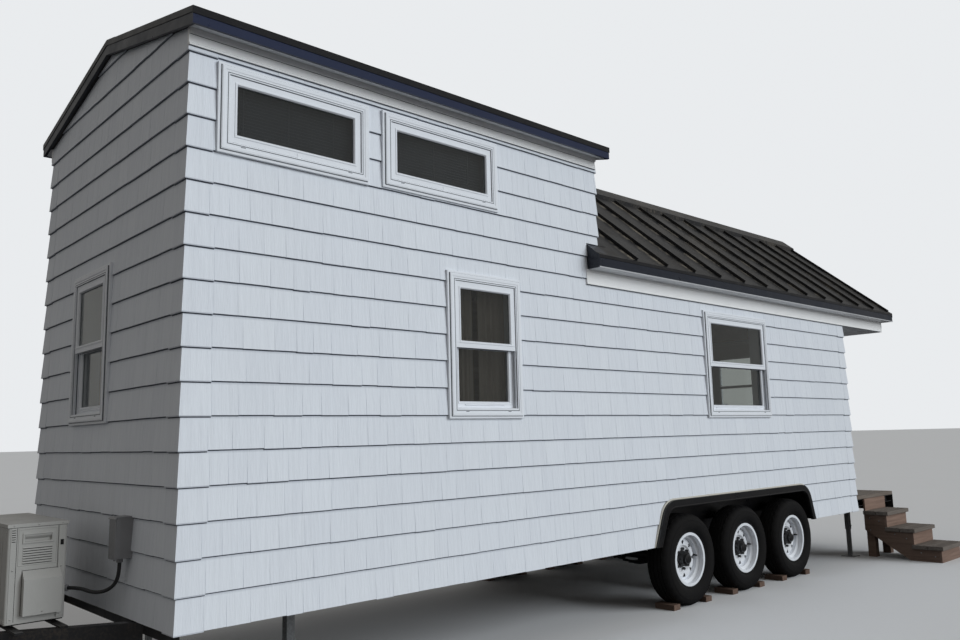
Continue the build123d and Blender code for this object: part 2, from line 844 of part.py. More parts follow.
cross_end_x = frame_end_x - header_width - cross_width
cross_count = int((cross_end_x - front_x - first_cross) // cross_pitch) + 1
cross_places = [front_x + first_cross + i * cross_pitch for i in range(cross_count)]
cross_top = frame_top - rail_flange_thickness
web_inner = rail_y - rail_web / 2
web_outer = rail_y + rail_web / 2
outrigger_end = skirt_y - side_rail_width
side_rail_bottom = frame_top - side_rail_depth
outrigger_depth = cross_top - side_rail_bottom
before_arch = arch_front_x - cross_width
after_arch = arch_rear_x + cross_width
outrigger_places = [x for x in cross_places if x < before_arch or x > after_arch]
with BuildPart() as cross_members:
    with BuildSketch(Plane.XZ):
        with Locations((header_x + header_width / 2, frame_top - rail_depth / 2)):
            Rectangle(header_width, rail_depth)
        with Locations((header_x + header_width / 2 + channel_thickness / 2, frame_top - rail_depth / 2)):
            hollow = rail_depth - 2 * channel_thickness
            Rectangle(header_width - channel_thickness, hollow, mode=Mode.SUBTRACT)
        with Locations((frame_end_x - header_width / 2, frame_top - rail_depth / 2)):
            Rectangle(header_width, rail_depth)
        with Locations((frame_end_x - header_width / 2 - channel_thickness / 2, frame_top - rail_depth / 2)):
            Rectangle(header_width - channel_thickness, hollow, mode=Mode.SUBTRACT)
    extrude(amount=skirt_y, both=True)
    with BuildSketch(Plane.XZ.offset(-web_inner)):
        for x in cross_places:
            with Locations((x, cross_top - cross_depth / 2)):
                Rectangle(cross_width, cross_depth)
            with Locations((x + channel_thickness / 2, cross_top - cross_depth / 2)):
                hollow = cross_depth - 2 * channel_thickness
                Rectangle(cross_width - channel_thickness, hollow, mode=Mode.SUBTRACT)
    extrude(amount=2 * web_inner)
    for side in sides:
        with BuildSketch(Plane.XZ.offset(side * (web_outer + outrigger_end) / 2)):
            for x in outrigger_places:
                with Locations((x, cross_top - outrigger_depth / 2)):
                    Rectangle(cross_width, outrigger_depth)
                with Locations((x + channel_thickness / 2, cross_top - outrigger_depth / 2)):
                    hollow = outrigger_depth - 2 * channel_thickness
                    Rectangle(cross_width - channel_thickness, hollow, mode=Mode.SUBTRACT)
        extrude(amount=(outrigger_end - web_outer) / 2, both=True)

# Tongue, coupler and tongue jack
tongue_slope = (tongue_rear_y - tongue_front_y) / (header_x - tongue_front_x)
tongue_stretch = sqrt(1 + tongue_slope**2)


def tongue_bar(side, width, bottom, height):
    """Bar of the tongue's V, from its outer face inwards, cut square to the house at both ends."""
    points = (
        (header_x, side * tongue_rear_y),
        (tongue_front_x, side * tongue_front_y),
        (tongue_front_x, side * (tongue_front_y - width * tongue_stretch)),
        (header_x, side * (tongue_rear_y - width * tongue_stretch)),
    )
    with BuildPart() as bar:
        with BuildSketch(Plane.XY.offset(bottom)):
            with BuildLine():
                Polyline(*points, close=True)
            make_face()
        extrude(amount=height)
    return bar.part


tongue_bottom = tongue_top - tongue_depth
with BuildPart() as tongue_rails:
    for side in sides:
        add(tongue_bar(side, channel_thickness, tongue_bottom, tongue_depth))
        for level in (tongue_bottom, tongue_top - channel_thickness):
            add(tongue_bar(side, tongue_width, level, channel_thickness))

plate_rear_x = jack_tube
plate_front_y = tongue_front_y
plate_rear_y = tongue_front_y + (plate_rear_x - tongue_front_x) * tongue_slope
nose_x = tongue_front_x - coupler_reach
coupler_half = coupler_nose_radius
with BuildPart() as coupler:
    with BuildSketch(Plane.XY.offset(tongue_top)):
        with BuildLine():
            Polyline(
                (plate_rear_x, -plate_rear_y),
                (plate_rear_x, plate_rear_y),
                (tongue_front_x, plate_front_y),
                (nose_x, coupler_half),
                (nose_x, -coupler_half),
                (tongue_front_x, -plate_front_y),
                close=True,
            )
        make_face()
        Circle(jack_tube / 2 + fender_clearance, mode=Mode.SUBTRACT)
    extrude(amount=coupler_plate)
    with BuildSketch(Plane.XY.offset(ball_z - coupler_nose_radius / 2)):
        with BuildLine():
            Polyline(
                (tongue_front_x, plate_front_y),
                (nose_x, coupler_half),
                (nose_x, -coupler_half),
                (tongue_front_x, -plate_front_y),
                close=True,
            )
        make_face()
    extrude(amount=tongue_top - ball_z + coupler_nose_radius / 2)
    with Locations((nose_x, 0, ball_z + coupler_plate)):
        Sphere(coupler_nose_radius)
    with Locations((nose_x, 0, ball_z)):
        Sphere(ball_radius, mode=Mode.SUBTRACT)
    with BuildSketch(Plane.XY.offset(ball_z)):
        with Locations((nose_x, 0)):
            Circle(ball_radius)
    extrude(amount=-2 * coupler_nose_radius, mode=Mode.SUBTRACT)
    latch_x = (nose_x + tongue_front_x) / 2
    with BuildSketch(Plane.XZ.offset(-lever_rod)):
        with BuildLine():
            Polyline(
                (latch_x, tongue_top),
                (latch_x + coupler_reach / 3, tongue_top + coupler_nose_radius),
                (latch_x + coupler_reach / 2, tongue_top + coupler_nose_radius),
                (latch_x + coupler_reach / 4, tongue_top),
                close=True,
            )
        make_face()
    extrude(amount=2 * lever_rod)

with BuildPart() as tongue_jack:
    with BuildSketch():
        Circle(jack_plate_width / 2)
    extrude(amount=jack_foot_thickness)
    with BuildSketch():
        Circle(jack_inner / 2)
    extrude(amount=jack_bottom + jack_foot_thickness)
    with BuildSketch(Plane.XY.offset(jack_bottom)):
        Circle(jack_tube / 2)
    extrude(amount=jack_top - jack_bottom)
    with BuildSketch(Plane.XY.offset(tongue_top + coupler_plate)):
        Circle(jack_tube)
    extrude(amount=coupler_plate)
    with BuildSketch(Plane.XZ.offset(-crank_rod / 2)):
        with Locations((crank_length / 2, jack_top + crank_rod / 2)):
            Rectangle(crank_length + jack_tube, crank_rod)
        with Locations((crank_length + jack_tube / 2, jack_top + crank_length / 4)):
            Rectangle(crank_rod, crank_length / 2)
    extrude(amount=crank_rod)

with BuildPart() as corner_jacks:
    for x in (cross_places[0], outrigger_places[-1]):
        for side in sides:
            with Locations((x, side * corner_jack_y, 0)):
                Box(corner_jack_foot, corner_jack_foot, jack_foot_thickness, align=standing)
                Box(corner_jack_inner, corner_jack_inner, corner_jack_split, align=standing)
            with Locations((x, side * corner_jack_y, corner_jack_split)):
                tall = side_rail_bottom - corner_jack_split
                Box(corner_jack_tube, corner_jack_tube, tall, align=standing)

# Wheels: built about the y axis with the outer face towards -y, then set in place
wheel_y = half_width - tyre_width / 2
axle_places = [front_x + first_axle + i * axle_pitch for i in range(3)]
half_tyre = tyre_width / 2
half_rim = rim_width / 2
bead_radius = rim_radius + bead_clearance
bead_face = half_rim - rim_sheet - bead_clearance
flange_radius = rim_flange_radius + bead_clearance
bulge_radius = (rim_flange_radius + tyre_radius) / 2
shoulder_radius = tyre_radius - tyre_shoulder
shoulder_y = half_tyre - tyre_side / 2
crown_y = half_tyre - tyre_shoulder - tyre_side / 2
liner_radius = tyre_radius - tyre_crown

with BuildPart() as tyre_form:
    with BuildSketch(Plane.XY):
        with BuildLine():
            Line((bead_radius, bead_face - 2 * tyre_side), (bead_radius, bead_face))
            Line((bead_radius, bead_face), (flange_radius, bead_face))
            ThreePointArc(
                (flange_radius, bead_face),
                (bulge_radius, half_tyre),
                (shoulder_radius, shoulder_y),
            )
            Line((shoulder_radius, shoulder_y), (tyre_radius, crown_y))
            Line((tyre_radius, crown_y), (tyre_radius, 0))
            Line((tyre_radius, 0), (liner_radius, 0))
            Line((liner_radius, 0), (liner_radius, crown_y))
            ThreePointArc(
                (liner_radius, crown_y),
                (bulge_radius, half_tyre - tyre_side),
                (bead_radius, bead_face - 2 * tyre_side),
            )
        make_face()
        mirror(about=Plane.XZ)
        groove_pitch = 2 * crown_y / (groove_count + 1)
        for i in range(groove_count):
            with Locations((tyre_radius, (i - (groove_count - 1) / 2) * groove_pitch)):
                Rectangle(2 * tread_groove, tread_groove, mode=Mode.SUBTRACT)
    revolve(axis=Axis.Y)

rim_well = rim_radius - rim_well_depth
disc_weld = rim_well - rim_sheet
disc_inside = disc_face + disc_sheet
well_edge = bead_seat + rim_slope
cap_face = disc_face - hub_length - hub_cap_length
cap_corner = hub_cap_fillet * (1 - cos(radians(45)))
with BuildPart() as rim_form:
    with BuildSketch(Plane.XY):
        with BuildLine():
            Polyline(
                (rim_flange_radius, -half_rim),
                (rim_flange_radius, rim_sheet - half_rim),
                (rim_radius, rim_sheet - half_rim),
                (rim_radius, bead_seat - half_rim),
                (rim_well, well_edge - half_rim),
                (rim_well, half_rim - well_edge),
                (rim_radius, half_rim - bead_seat),
                (rim_radius, half_rim - rim_sheet),
                (rim_flange_radius, half_rim - rim_sheet),
                (rim_flange_radius, half_rim),
                (rim_radius - rim_sheet, half_rim),
                (rim_radius - rim_sheet, half_rim - bead_seat),
                (disc_weld, half_rim - well_edge),
                (disc_weld, well_edge - half_rim),
                (rim_radius - rim_sheet, bead_seat - half_rim),
                (rim_radius - rim_sheet, -half_rim),
                close=True,
            )
        make_face()
        with BuildLine():
            Polyline(
                (hub_radius, disc_face),
                (hub_flat_radius, disc_face),
                (hub_flat_radius + disc_crown, disc_face - disc_crown),
                (disc_weld - 2 * disc_crown, disc_face - disc_crown),
                (disc_weld - disc_sheet, disc_face),
                (disc_weld, disc_face),
                (disc_weld, disc_face + 3 * disc_sheet),
                (disc_weld - disc_sheet, disc_face + 3 * disc_sheet),
                (disc_weld - disc_sheet, disc_inside),
                (disc_weld - 2 * disc_crown, disc_inside - disc_crown),
                (hub_flat_radius + disc_crown, disc_inside - disc_crown),
                (hub_flat_radius, disc_inside),
                (hub_radius, disc_inside),
                close=True,
            )
        make_face()
    revolve(axis=Axis.Y)
    with BuildSketch(Plane.XZ.offset(half_rim)) as hand_holes:
        with PolarLocations(hand_hole_radius, spoke_count):
            RegularPolygon(hand_hole_size, 3, rotation=180)
        fillet(hand_holes.vertices(), hand_hole_corner)
    extrude(amount=-rim_width, mode=Mode.SUBTRACT)
    with BuildSketch(Plane.XZ.offset(-disc_inside)):
        Circle(drum_radius)
    extrude(amount=-drum_width)
    with BuildSketch(Plane.XZ.offset(-disc_inside - disc_sheet)):
        Circle(drum_radius - disc_sheet)
        Circle(hub_radius, mode=Mode.SUBTRACT)
    extrude(amount=-drum_width, mode=Mode.SUBTRACT)
    with BuildSketch(Plane.XY):
        with BuildLine():
            Polyline(
                (0, cap_face + hub_cap_length),
                (0, cap_face),
                (hub_cap_radius - hub_cap_fillet, cap_face),
            )
            ThreePointArc(
                (hub_cap_radius - hub_cap_fillet, cap_face),
                (hub_cap_radius - cap_corner, cap_face + cap_corner),
                (hub_cap_radius, cap_face + hub_cap_fillet),
            )
            Polyline(
                (hub_cap_radius, cap_face + hub_cap_fillet),
                (hub_cap_radius, cap_face + hub_cap_length),
                (0, cap_face + hub_cap_length),
            )
        make_face()
        with BuildLine():
            Polyline(
                (0, disc_inside + drum_width),
                (0, disc_face - hub_length),
                (hub_radius, disc_face - hub_length),
                (hub_radius, disc_inside + drum_width),
                close=True,
            )
        make_face()
    revolve(axis=Axis.Y)
    with BuildSketch(Plane.XZ.offset(-disc_face)):
        with PolarLocations(lug_circle_radius, spoke_count):
            RegularPolygon(lug_radius, 6)
    extrude(amount=lug_length)
    with BuildSketch(Plane.XZ.offset(-disc_inside - drum_width)):
        Circle(spindle_radius + spindle_clearance)
    extrude(amount=drum_width + disc_sheet + spindle_reach + backing_gap, mode=Mode.SUBTRACT)

axle_names = ("front", "middle", "rear")
side_names = {-1: "near", 1: "far"}
for side in sides:
    for x, place_name in zip(axle_places, axle_names):
        turn = 0 if side < 0 else 180
        with BuildPart() as tyre:
            with Locations(Location((x, side * wheel_y, wheel_z), (0, 0, turn))):
                add(tyre_form.part)
        with BuildPart() as rim:
            with Locations(Location((x, side * wheel_y, wheel_z), (0, 0, turn))):
                add(rim_form.part)
        stem = side_names[side] + "_" + place_name
        tyre.part.label = stem + "_tyre"
        export_step(tyre.part, "parts/" + stem + "_tyre.step")
        rim.part.label = stem + "_wheel"
        export_step(rim.part, "parts/" + stem + "_wheel.step")

# Axles with brake plates and spindles
plate_y = wheel_y - disc_inside - drum_width - backing_gap
seat_top = wheel_z - axle_radius - spring_seat
with BuildPart() as axles:
    for x in axle_places:
        with BuildSketch(Plane.XZ):
            with Locations((x, wheel_z)):
                Circle(axle_radius)
        extrude(amount=plate_y, both=True)
        with BuildSketch(Plane.XZ):
            with Locations((x, wheel_z)):
                Circle(spindle_radius)
        extrude(amount=wheel_y - disc_face + spindle_reach, both=True)
        for side in sides:
            with BuildSketch(Plane.XZ.offset(side * (plate_y - backing_thickness / 2))):
                with Locations((x, wheel_z)):
                    Circle(drum_radius)
            extrude(amount=backing_thickness / 2, both=True)
            with BuildSketch(Plane.XZ.offset(side * rail_y)):
                with Locations((x, (wheel_z + seat_top + seat_clearance) / 2)):
                    Rectangle(seat_width, wheel_z - seat_top - seat_clearance)
            extrude(amount=spring_width / 2, both=True)

# Leaf springs under the axles, with equalisers between them
spring_half = spring_length / 2
leaf_end_z = spring_eye_z - spring_eye_radius + leaf_thickness
spring_sag = leaf_end_z - seat_top
leaf_radius = (spring_half**2 + spring_sag**2) / (2 * spring_sag)
leaf_centre_z = seat_top + leaf_radius


def leaf(x, order):
    """One leaf of a pack, drawn as a band of an arc; leaves get shorter downwards."""
    reach = spring_half * (leaf_count - order) / leaf_count
    inner = leaf_radius + order * leaf_thickness
    outer = inner + leaf_thickness
    inner_z = leaf_centre_z - sqrt(inner**2 - reach**2)
    outer_z = leaf_centre_z - sqrt(outer**2 - reach**2)
    with BuildLine() as band:
        ThreePointArc((x - reach, inner_z), (x, leaf_centre_z - inner), (x + reach, inner_z))
        Line((x + reach, inner_z), (x + reach, outer_z))
        ThreePointArc((x + reach, outer_z), (x, leaf_centre_z - outer), (x - reach, outer_z))
        Line((x - reach, outer_z), (x - reach, inner_z))
    return band


eye_bore = spring_bolt_radius + fender_clearance
with BuildPart() as leaf_springs:
    for side in sides:
        with BuildSketch(Plane.XZ.offset(side * rail_y)):
            for x in axle_places:
                for order in range(leaf_count):
                    add(leaf(x, order).line)
                    make_face()
                for end in sides:
                    with Locations((x + end * spring_half, spring_eye_z)):
                        Circle(spring_eye_radius)
                        Circle(eye_bore, mode=Mode.SUBTRACT)
        extrude(amount=spring_width / 2, both=True)

hanger_inside = spring_width / 2 + fender_clearance
hanger_outside = hanger_inside + hanger_thickness
equaliser_places = [x + axle_pitch / 2 for x in axle_places[:-1]]
equaliser_z = (spring_eye_z + rail_bottom) / 2
with BuildPart() as spring_hangers:
    for side in sides:
        for x in (axle_places[0] - spring_half, axle_places[-1] + spring_half):
            for face in sides:
                middle_y = side * rail_y + face * (hanger_inside + hanger_thickness / 2)
                with BuildSketch(Plane.XZ.offset(-middle_y)):
                    with Locations((x, (rail_bottom + spring_eye_z - spring_eye_radius) / 2)):
                        Rectangle(hanger_width, rail_bottom - spring_eye_z + spring_eye_radius)
                extrude(amount=hanger_thickness / 2, both=True)
            with BuildSketch(Plane.XZ.offset(-side * rail_y)):
                with Locations((x, spring_eye_z)):
                    Circle(spring_bolt_radius)
            extrude(amount=hanger_outside, both=True)
        for x in equaliser_places:
            with BuildSketch(Plane.XZ.offset(-side * rail_y)):
                with Locations((x, (rail_bottom + equaliser_z - spring_eye_radius) / 2)):
                    Rectangle(hanger_width, rail_bottom - equaliser_z + spring_eye_radius)
                with Locations((x, equaliser_z)):
                    Circle(eye_bore, mode=Mode.SUBTRACT)
            extrude(amount=spring_width / 2, both=True)
    for side in sides:
        for x in equaliser_places:
            eye_reach = (axle_pitch - spring_length) / 2
            for face in sides:
                middle_y = side * rail_y + face * (hanger_inside + hanger_thickness / 2)
                with BuildSketch(Plane.XZ.offset(-middle_y)):
                    with BuildLine():
                        Polyline(
                            (x - eye_reach - spring_eye_radius, spring_eye_z - spring_eye_radius),
                            (x + eye_reach + spring_eye_radius, spring_eye_z - spring_eye_radius),
                            (x + eye_reach + spring_eye_radius, spring_eye_z + spring_eye_radius),
                            (x + spring_eye_radius, equaliser_z + spring_eye_radius),
                            (x - spring_eye_radius, equaliser_z + spring_eye_radius),
                            (x - eye_reach - spring_eye_radius, spring_eye_z + spring_eye_radius),
                            close=True,
                        )
                    make_face()
                extrude(amount=hanger_thickness / 2, both=True)
            with BuildSketch(Plane.XZ.offset(-side * rail_y)):
                with Locations((x, equaliser_z)):
                    Circle(spring_bolt_radius)
                with Locations((x - eye_reach, spring_eye_z), (x + eye_reach, spring_eye_z)):
                    Circle(spring_bolt_radius)
            extrude(amount=hanger_outside, both=True)

# Fenders: a sheet pan following the arch, with a raised lip round its mouth
fender_face = half_width + fender_proud
with BuildPart() as near_fender:
    with BuildSketch(Plane.XZ.offset(fender_face)):
        add(wheel_arch(fender_clearance).line)
        make_face()
        add(wheel_arch(fender_clearance + fender_sheet).line)
        make_face(mode=Mode.SUBTRACT)
    extrude(amount=fender_inner_y - fender_face)
    with BuildSketch(Plane.XZ.offset(fender_face)):
        add(wheel_arch(fender_clearance).line)
        make_face()
        add(wheel_arch(fender_clearance + fender_lip).line)
        make_face(mode=Mode.SUBTRACT)
    extrude(amount=-fender_lip_thickness)

with BuildPart() as fenders:
    add(near_fender.part)
    add(mirror(near_fender.part, about=Plane.XZ, mode=Mode.PRIVATE))

# Stair from the porch deck down to the near side
stair_start_x = rear_x + stair_lead
stair_end_x = stair_start_x + stair_width
riser_faces = [skirt_y + (3 - i) * stair_run - tread_nosing for i in range(3)]
tread_tops = [stair_rise * (i + 1) for i in range(3)]
stringer_back = tread_tops[-1] - tread_thickness
stringer_foot = riser_faces[0] - riser_thickness
level = 0
stringer_points = []
for face, top in zip(riser_faces, tread_tops):
    stringer_points.append((riser_thickness - face, level))
    level = top - tread_thickness
    stringer_points.append((riser_thickness - face, level))
stringer_points.append((-skirt_y, stringer_back))
stringer_points.append((-skirt_y, stringer_back - stringer_depth))
stringer_points.append((stringer_foot_length - stringer_foot, 0))

with BuildPart() as stair_stringers:
    for x in (stair_start_x, stair_end_x - stringer_thickness):
        extrude(profile(x, stringer_points), amount=stringer_thickness)
    for x in (stair_start_x + stringer_thickness, stair_end_x - stringer_thickness - stair_post):
        with Locations((x, -skirt_y, 0)):
            Box(stair_post, stair_post, stringer_back, align=(Align.MIN, Align.MAX, Align.MIN))

with BuildPart() as stair_risers:
    level = 0
    for face, top in zip(riser_faces, tread_tops):
        with Locations(((stair_start_x + stair_end_x) / 2, -face, level)):
            tall = top - tread_thickness - level
            Box(stair_width, riser_thickness, tall, align=(Align.CENTER, Align.MIN, Align.MIN))
        level = top
    with Locations(((stair_start_x + stair_end_x) / 2, -skirt_y, level)):
        Box(stair_width, riser_thickness, frame_top - level, align=(Align.CENTER, Align.MAX, Align.MIN))

with BuildPart() as stair_treads:
    for i, top in enumerate(tread_tops):
        back = riser_faces[i + 1] - riser_thickness if i < 2 else skirt_y
        front = riser_faces[i] + tread_nosing
        with Locations(((stair_start_x + stair_end_x) / 2, -back, top)):
            wide = stair_width + 2 * tread_nosing
            Box(wide, front - back, tread_thickness, align=(Align.CENTER, Align.MAX, Align.MAX))

# Wooden blocks either side of each tyre, just clear of the tread
chock_reach = sqrt((tyre_radius + chock_gap) ** 2 - (wheel_z - chock_height) ** 2)
with BuildPart() as wheel_chocks:
    for side in sides:
        for x in axle_places:
            for end in sides:
                with Locations((x + end * (chock_reach + chock_length / 2), side * wheel_y, 0)):
                    Box(chock_length, chock_width, chock_height, align=standing)

# Outdoor unit on the tongue
unit_rear_x = front_x - unit_gap
unit_front_x = unit_rear_x - unit_depth
unit_middle_x = (unit_front_x + unit_rear_x) / 2
cover_bottom = unit_bottom + cover_lift
cover_top = cover_bottom + unit_cover_height
cover_face = -unit_width / 2 - unit_cover_depth
unit_face = Plane(origin=(unit_front_x, 0, 0), x_dir=(0, -1, 0), z_dir=(-1, 0, 0))
fan_y = unit_width / 2 - unit_sheet - fan_radius
fan_z = unit_bottom + unit_height / 2
with BuildPart() as unit_cabinet:
    with BuildSketch(Plane.XY.offset(unit_bottom)) as cabinet_plan:
        with Locations(((unit_front_x + unit_rear_x) / 2, 0)):
            Rectangle(unit_depth, unit_width)
        fillet(cabinet_plan.vertices(), unit_corner)
    extrude(amount=unit_height)
    with BuildSketch(unit_face):
        with Locations((-fan_y, fan_z)):
            Circle(fan_radius)
    extrude(amount=-fan_recess, mode=Mode.SUBTRACT)
    with BuildSketch(unit_face.offset(-fan_recess)):
        with Locations((-fan_y, fan_z)):
            Circle(fan_hub_radius)
    extrude(amount=fan_recess / 2)
    with BuildSketch(Plane.YZ.offset(unit_front_x + cover_start)):
        with BuildLine():
            Polyline(
                (-unit_width / 2, cover_bottom),
                (cover_face, cover_bottom),
                (cover_face, cover_top - unit_cover_depth),
                (-unit_width / 2, cover_top),
                close=True,
            )
        make_face()
    extrude(amount=unit_cover_width)
    with BuildSketch(Plane.XZ.offset(unit_width / 2)):
        with Locations((unit_middle_x, unit_bottom + unit_height - handle_drop)):
            Rectangle(handle_width, handle_height)
    extrude(amount=-handle_height / 2, mode=Mode.SUBTRACT)
    with BuildSketch(Plane(origin=(whip_end_x, whip_end_y, whip_end_z), z_dir=(-1, 1, 0))):
        Circle(gland_radius)
    extrude(amount=2 * gland_length)

with BuildPart() as unit_grille:
    with BuildSketch(unit_face):
        ring_step = (fan_radius + grille_wire - fan_hub_radius) / (grille_rings - 1)
        with Locations((-fan_y, fan_z)):
            for i in reversed(range(grille_rings)):
                ring_radius = fan_hub_radius + i * ring_step
                Circle(ring_radius + grille_wire)
                Circle(ring_radius - grille_wire, mode=Mode.SUBTRACT)
            with PolarLocations((fan_radius + fan_hub_radius) / 2, grille_spokes):
                Rectangle(fan_radius - fan_hub_radius, 2 * grille_wire)
    extrude(amount=2 * grille_wire)

with BuildPart() as unit_supports:
    for x in (unit_front_x + support_width, unit_rear_x - support_width):
        with Locations((x, 0, tongue_top)):
            Box(support_width, 2 * support_y, support_thickness, align=standing)
    for y in (-foot_y, foot_y):
        with Locations((unit_middle_x, y, tongue_top + support_thickness)):
            foot_tall = unit_bottom - tongue_top - support_thickness
            Box(unit_depth + 2 * unit_corner, foot_width, foot_tall, align=standing)

# Disconnect box on the front wall, with the whip that runs from it to the unit
box_front_x = front_x - box_depth
gland_x = front_x - box_depth / 2
with BuildPart() as disconnect_box:
    with Locations(((box_front_x + front_wall_x) / 2, box_y, box_bottom + box_height / 2)):
        Box(front_wall_x - box_front_x, box_width, box_height)
    fillet(disconnect_box.edges().filter_by(Axis.Z).sort_by(Axis.X)[:2], box_width / 16)
    with BuildSketch(Plane.XY.offset(box_bottom)):
        with Locations((gland_x, box_y)):
            Circle(gland_radius)
    extrude(amount=-gland_length)

whip_points = [
    (gland_x, box_y, box_bottom - gland_length),
    (gland_x, box_y, 762),
    (995, -563, 705),
    (960, -520, 672),
    (915, -464, 666),
    (866, -401, whip_end_z),
    (whip_end_x, whip_end_y, whip_end_z),
]
whip_radii = []
for before, here, after in zip(whip_points, whip_points[1:], whip_points[2:]):
    run_in = Vector(*here) - Vector(*before)
    run_out = Vector(*after) - Vector(*here)
    half_turn = radians(run_in.get_angle(run_out)) / 2
    whip_radii.append(0.45 * min(run_in.length, run_out.length) / tan(half_turn))

print("whip radii", [round(radius) for radius in whip_radii])

with BuildPart() as whip:
    with BuildLine() as whip_route:
        FilletPolyline(*whip_points, radius=whip_radii)
    with BuildSketch(Plane(origin=whip_points[0], z_dir=Vector(*whip_points[1]) - Vector(*whip_points[0]))):
        Circle(whip_radius)
    sweep()
whip_length = sum(edge.length for edge in whip_route.edges())
print("whip volume", round(whip.part.volume), "of", round(pi * whip_radius**2 * whip_length))

# Labels and files
near_wall_front.part.label = "near_wall_front"
export_step(near_wall_front.part, "parts/near_wall_front.step")
near_wall_rear.part.label = "near_wall_rear"
export_step(near_wall_rear.part, "parts/near_wall_rear.step")
far_wall_front.part.label = "far_wall_front"
export_step(far_wall_front.part, "parts/far_wall_front.step")
far_wall_rear.part.label = "far_wall_rear"
export_step(far_wall_rear.part, "parts/far_wall_rear.step")
front_wall.part.label = "front_wall"
export_step(front_wall.part, "parts/front_wall.step")
rear_wall.part.label = "rear_wall"
export_step(rear_wall.part, "parts/rear_wall.step")
cheek_wall.part.label = "cheek_wall"
export_step(cheek_wall.part, "parts/cheek_wall.step")
rear_gable.part.label = "rear_gable"
export_step(rear_gable.part, "parts/rear_gable.step")
floor.part.label = "floor"
export_step(floor.part, "parts/floor.step")
wheel_wells.part.label = "wheel_wells"
export_step(wheel_wells.part, "parts/wheel_wells.step")
porch_deck.part.label = "porch_deck"
export_step(porch_deck.part, "parts/porch_deck.step")
porch_ceiling.part.label = "porch_ceiling"
export_step(porch_ceiling.part, "parts/porch_ceiling.step")
near_tower_roof.part.label = "near_tower_roof"
export_step(near_tower_roof.part, "parts/near_tower_roof.step")
far_tower_roof.part.label = "far_tower_roof"
export_step(far_tower_roof.part, "parts/far_tower_roof.step")
tower_fascias.part.label = "tower_fascias"
export_step(tower_fascias.part, "parts/tower_fascias.step")
rake_boards.part.label = "rake_boards"
export_step(rake_boards.part, "parts/rake_boards.step")
near_main_roof.part.label = "near_main_roof"
export_step(near_main_roof.part, "parts/near_main_roof.step")
far_main_roof.part.label = "far_main_roof"
export_step(far_main_roof.part, "parts/far_main_roof.step")
eave_boxes.part.label = "eave_boxes"
export_step(eave_boxes.part, "parts/eave_boxes.step")
ridge_caps.part.label = "ridge_caps"
export_step(ridge_caps.part, "parts/ridge_caps.step")
frieze_boards.part.label = "frieze_boards"
export_step(frieze_boards.part, "parts/frieze_boards.step")
window_frames.part.label = "window_frames"
export_step(window_frames.part, "parts/window_frames.step")
window_sashes.part.label = "window_sashes"
export_step(window_sashes.part, "parts/window_sashes.step")
window_glass.part.label = "window_glass"
export_step(window_glass.part, "parts/window_glass.step")
door_frame.part.label = "door_frame"
export_step(door_frame.part, "parts/door_frame.step")
entrance_door.part.label = "entrance_door"
export_step(entrance_door.part, "parts/entrance_door.step")
door_lever.part.label = "door_lever"
export_step(door_lever.part, "parts/door_lever.step")
main_rails.part.label = "main_rails"
export_step(main_rails.part, "parts/main_rails.step")
side_rails.part.label = "side_rails"
export_step(side_rails.part, "parts/side_rails.step")
cross_members.part.label = "cross_members"
export_step(cross_members.part, "parts/cross_members.step")
tongue_rails.part.label = "tongue_rails"
export_step(tongue_rails.part, "parts/tongue_rails.step")
coupler.part.label = "coupler"
export_step(coupler.part, "parts/coupler.step")
tongue_jack.part.label = "tongue_jack"
export_step(tongue_jack.part, "parts/tongue_jack.step")
corner_jacks.part.label = "corner_jacks"
export_step(corner_jacks.part, "parts/corner_jacks.step")
axles.part.label = "axles"
export_step(axles.part, "parts/axles.step")
leaf_springs.part.label = "leaf_springs"
export_step(leaf_springs.part, "parts/leaf_springs.step")
spring_hangers.part.label = "spring_hangers"
export_step(spring_hangers.part, "parts/spring_hangers.step")
fenders.part.label = "fenders"
export_step(fenders.part, "parts/fenders.step")
stair_stringers.part.label = "stair_stringers"
export_step(stair_stringers.part, "parts/stair_stringers.step")
stair_risers.part.label = "stair_risers"
export_step(stair_risers.part, "parts/stair_risers.step")
stair_treads.part.label = "stair_treads"
export_step(stair_treads.part, "parts/stair_treads.step")
wheel_chocks.part.label = "wheel_chocks"
export_step(wheel_chocks.part, "parts/wheel_chocks.step")
unit_cabinet.part.label = "unit_cabinet"
export_step(unit_cabinet.part, "parts/unit_cabinet.step")
unit_grille.part.label = "unit_grille"
export_step(unit_grille.part, "parts/unit_grille.step")
unit_supports.part.label = "unit_supports"
export_step(unit_supports.part, "parts/unit_supports.step")
disconnect_box.part.label = "disconnect_box"
export_step(disconnect_box.part, "parts/disconnect_box.step")
whip.part.label = "whip"
export_step(whip.part, "parts/whip.step")
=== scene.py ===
"""Looks of a tiny house on a three-axle trailer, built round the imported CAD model. Metres, z up."""

import math
import random

import bmesh
import bpy
from mathutils import Matrix, Vector


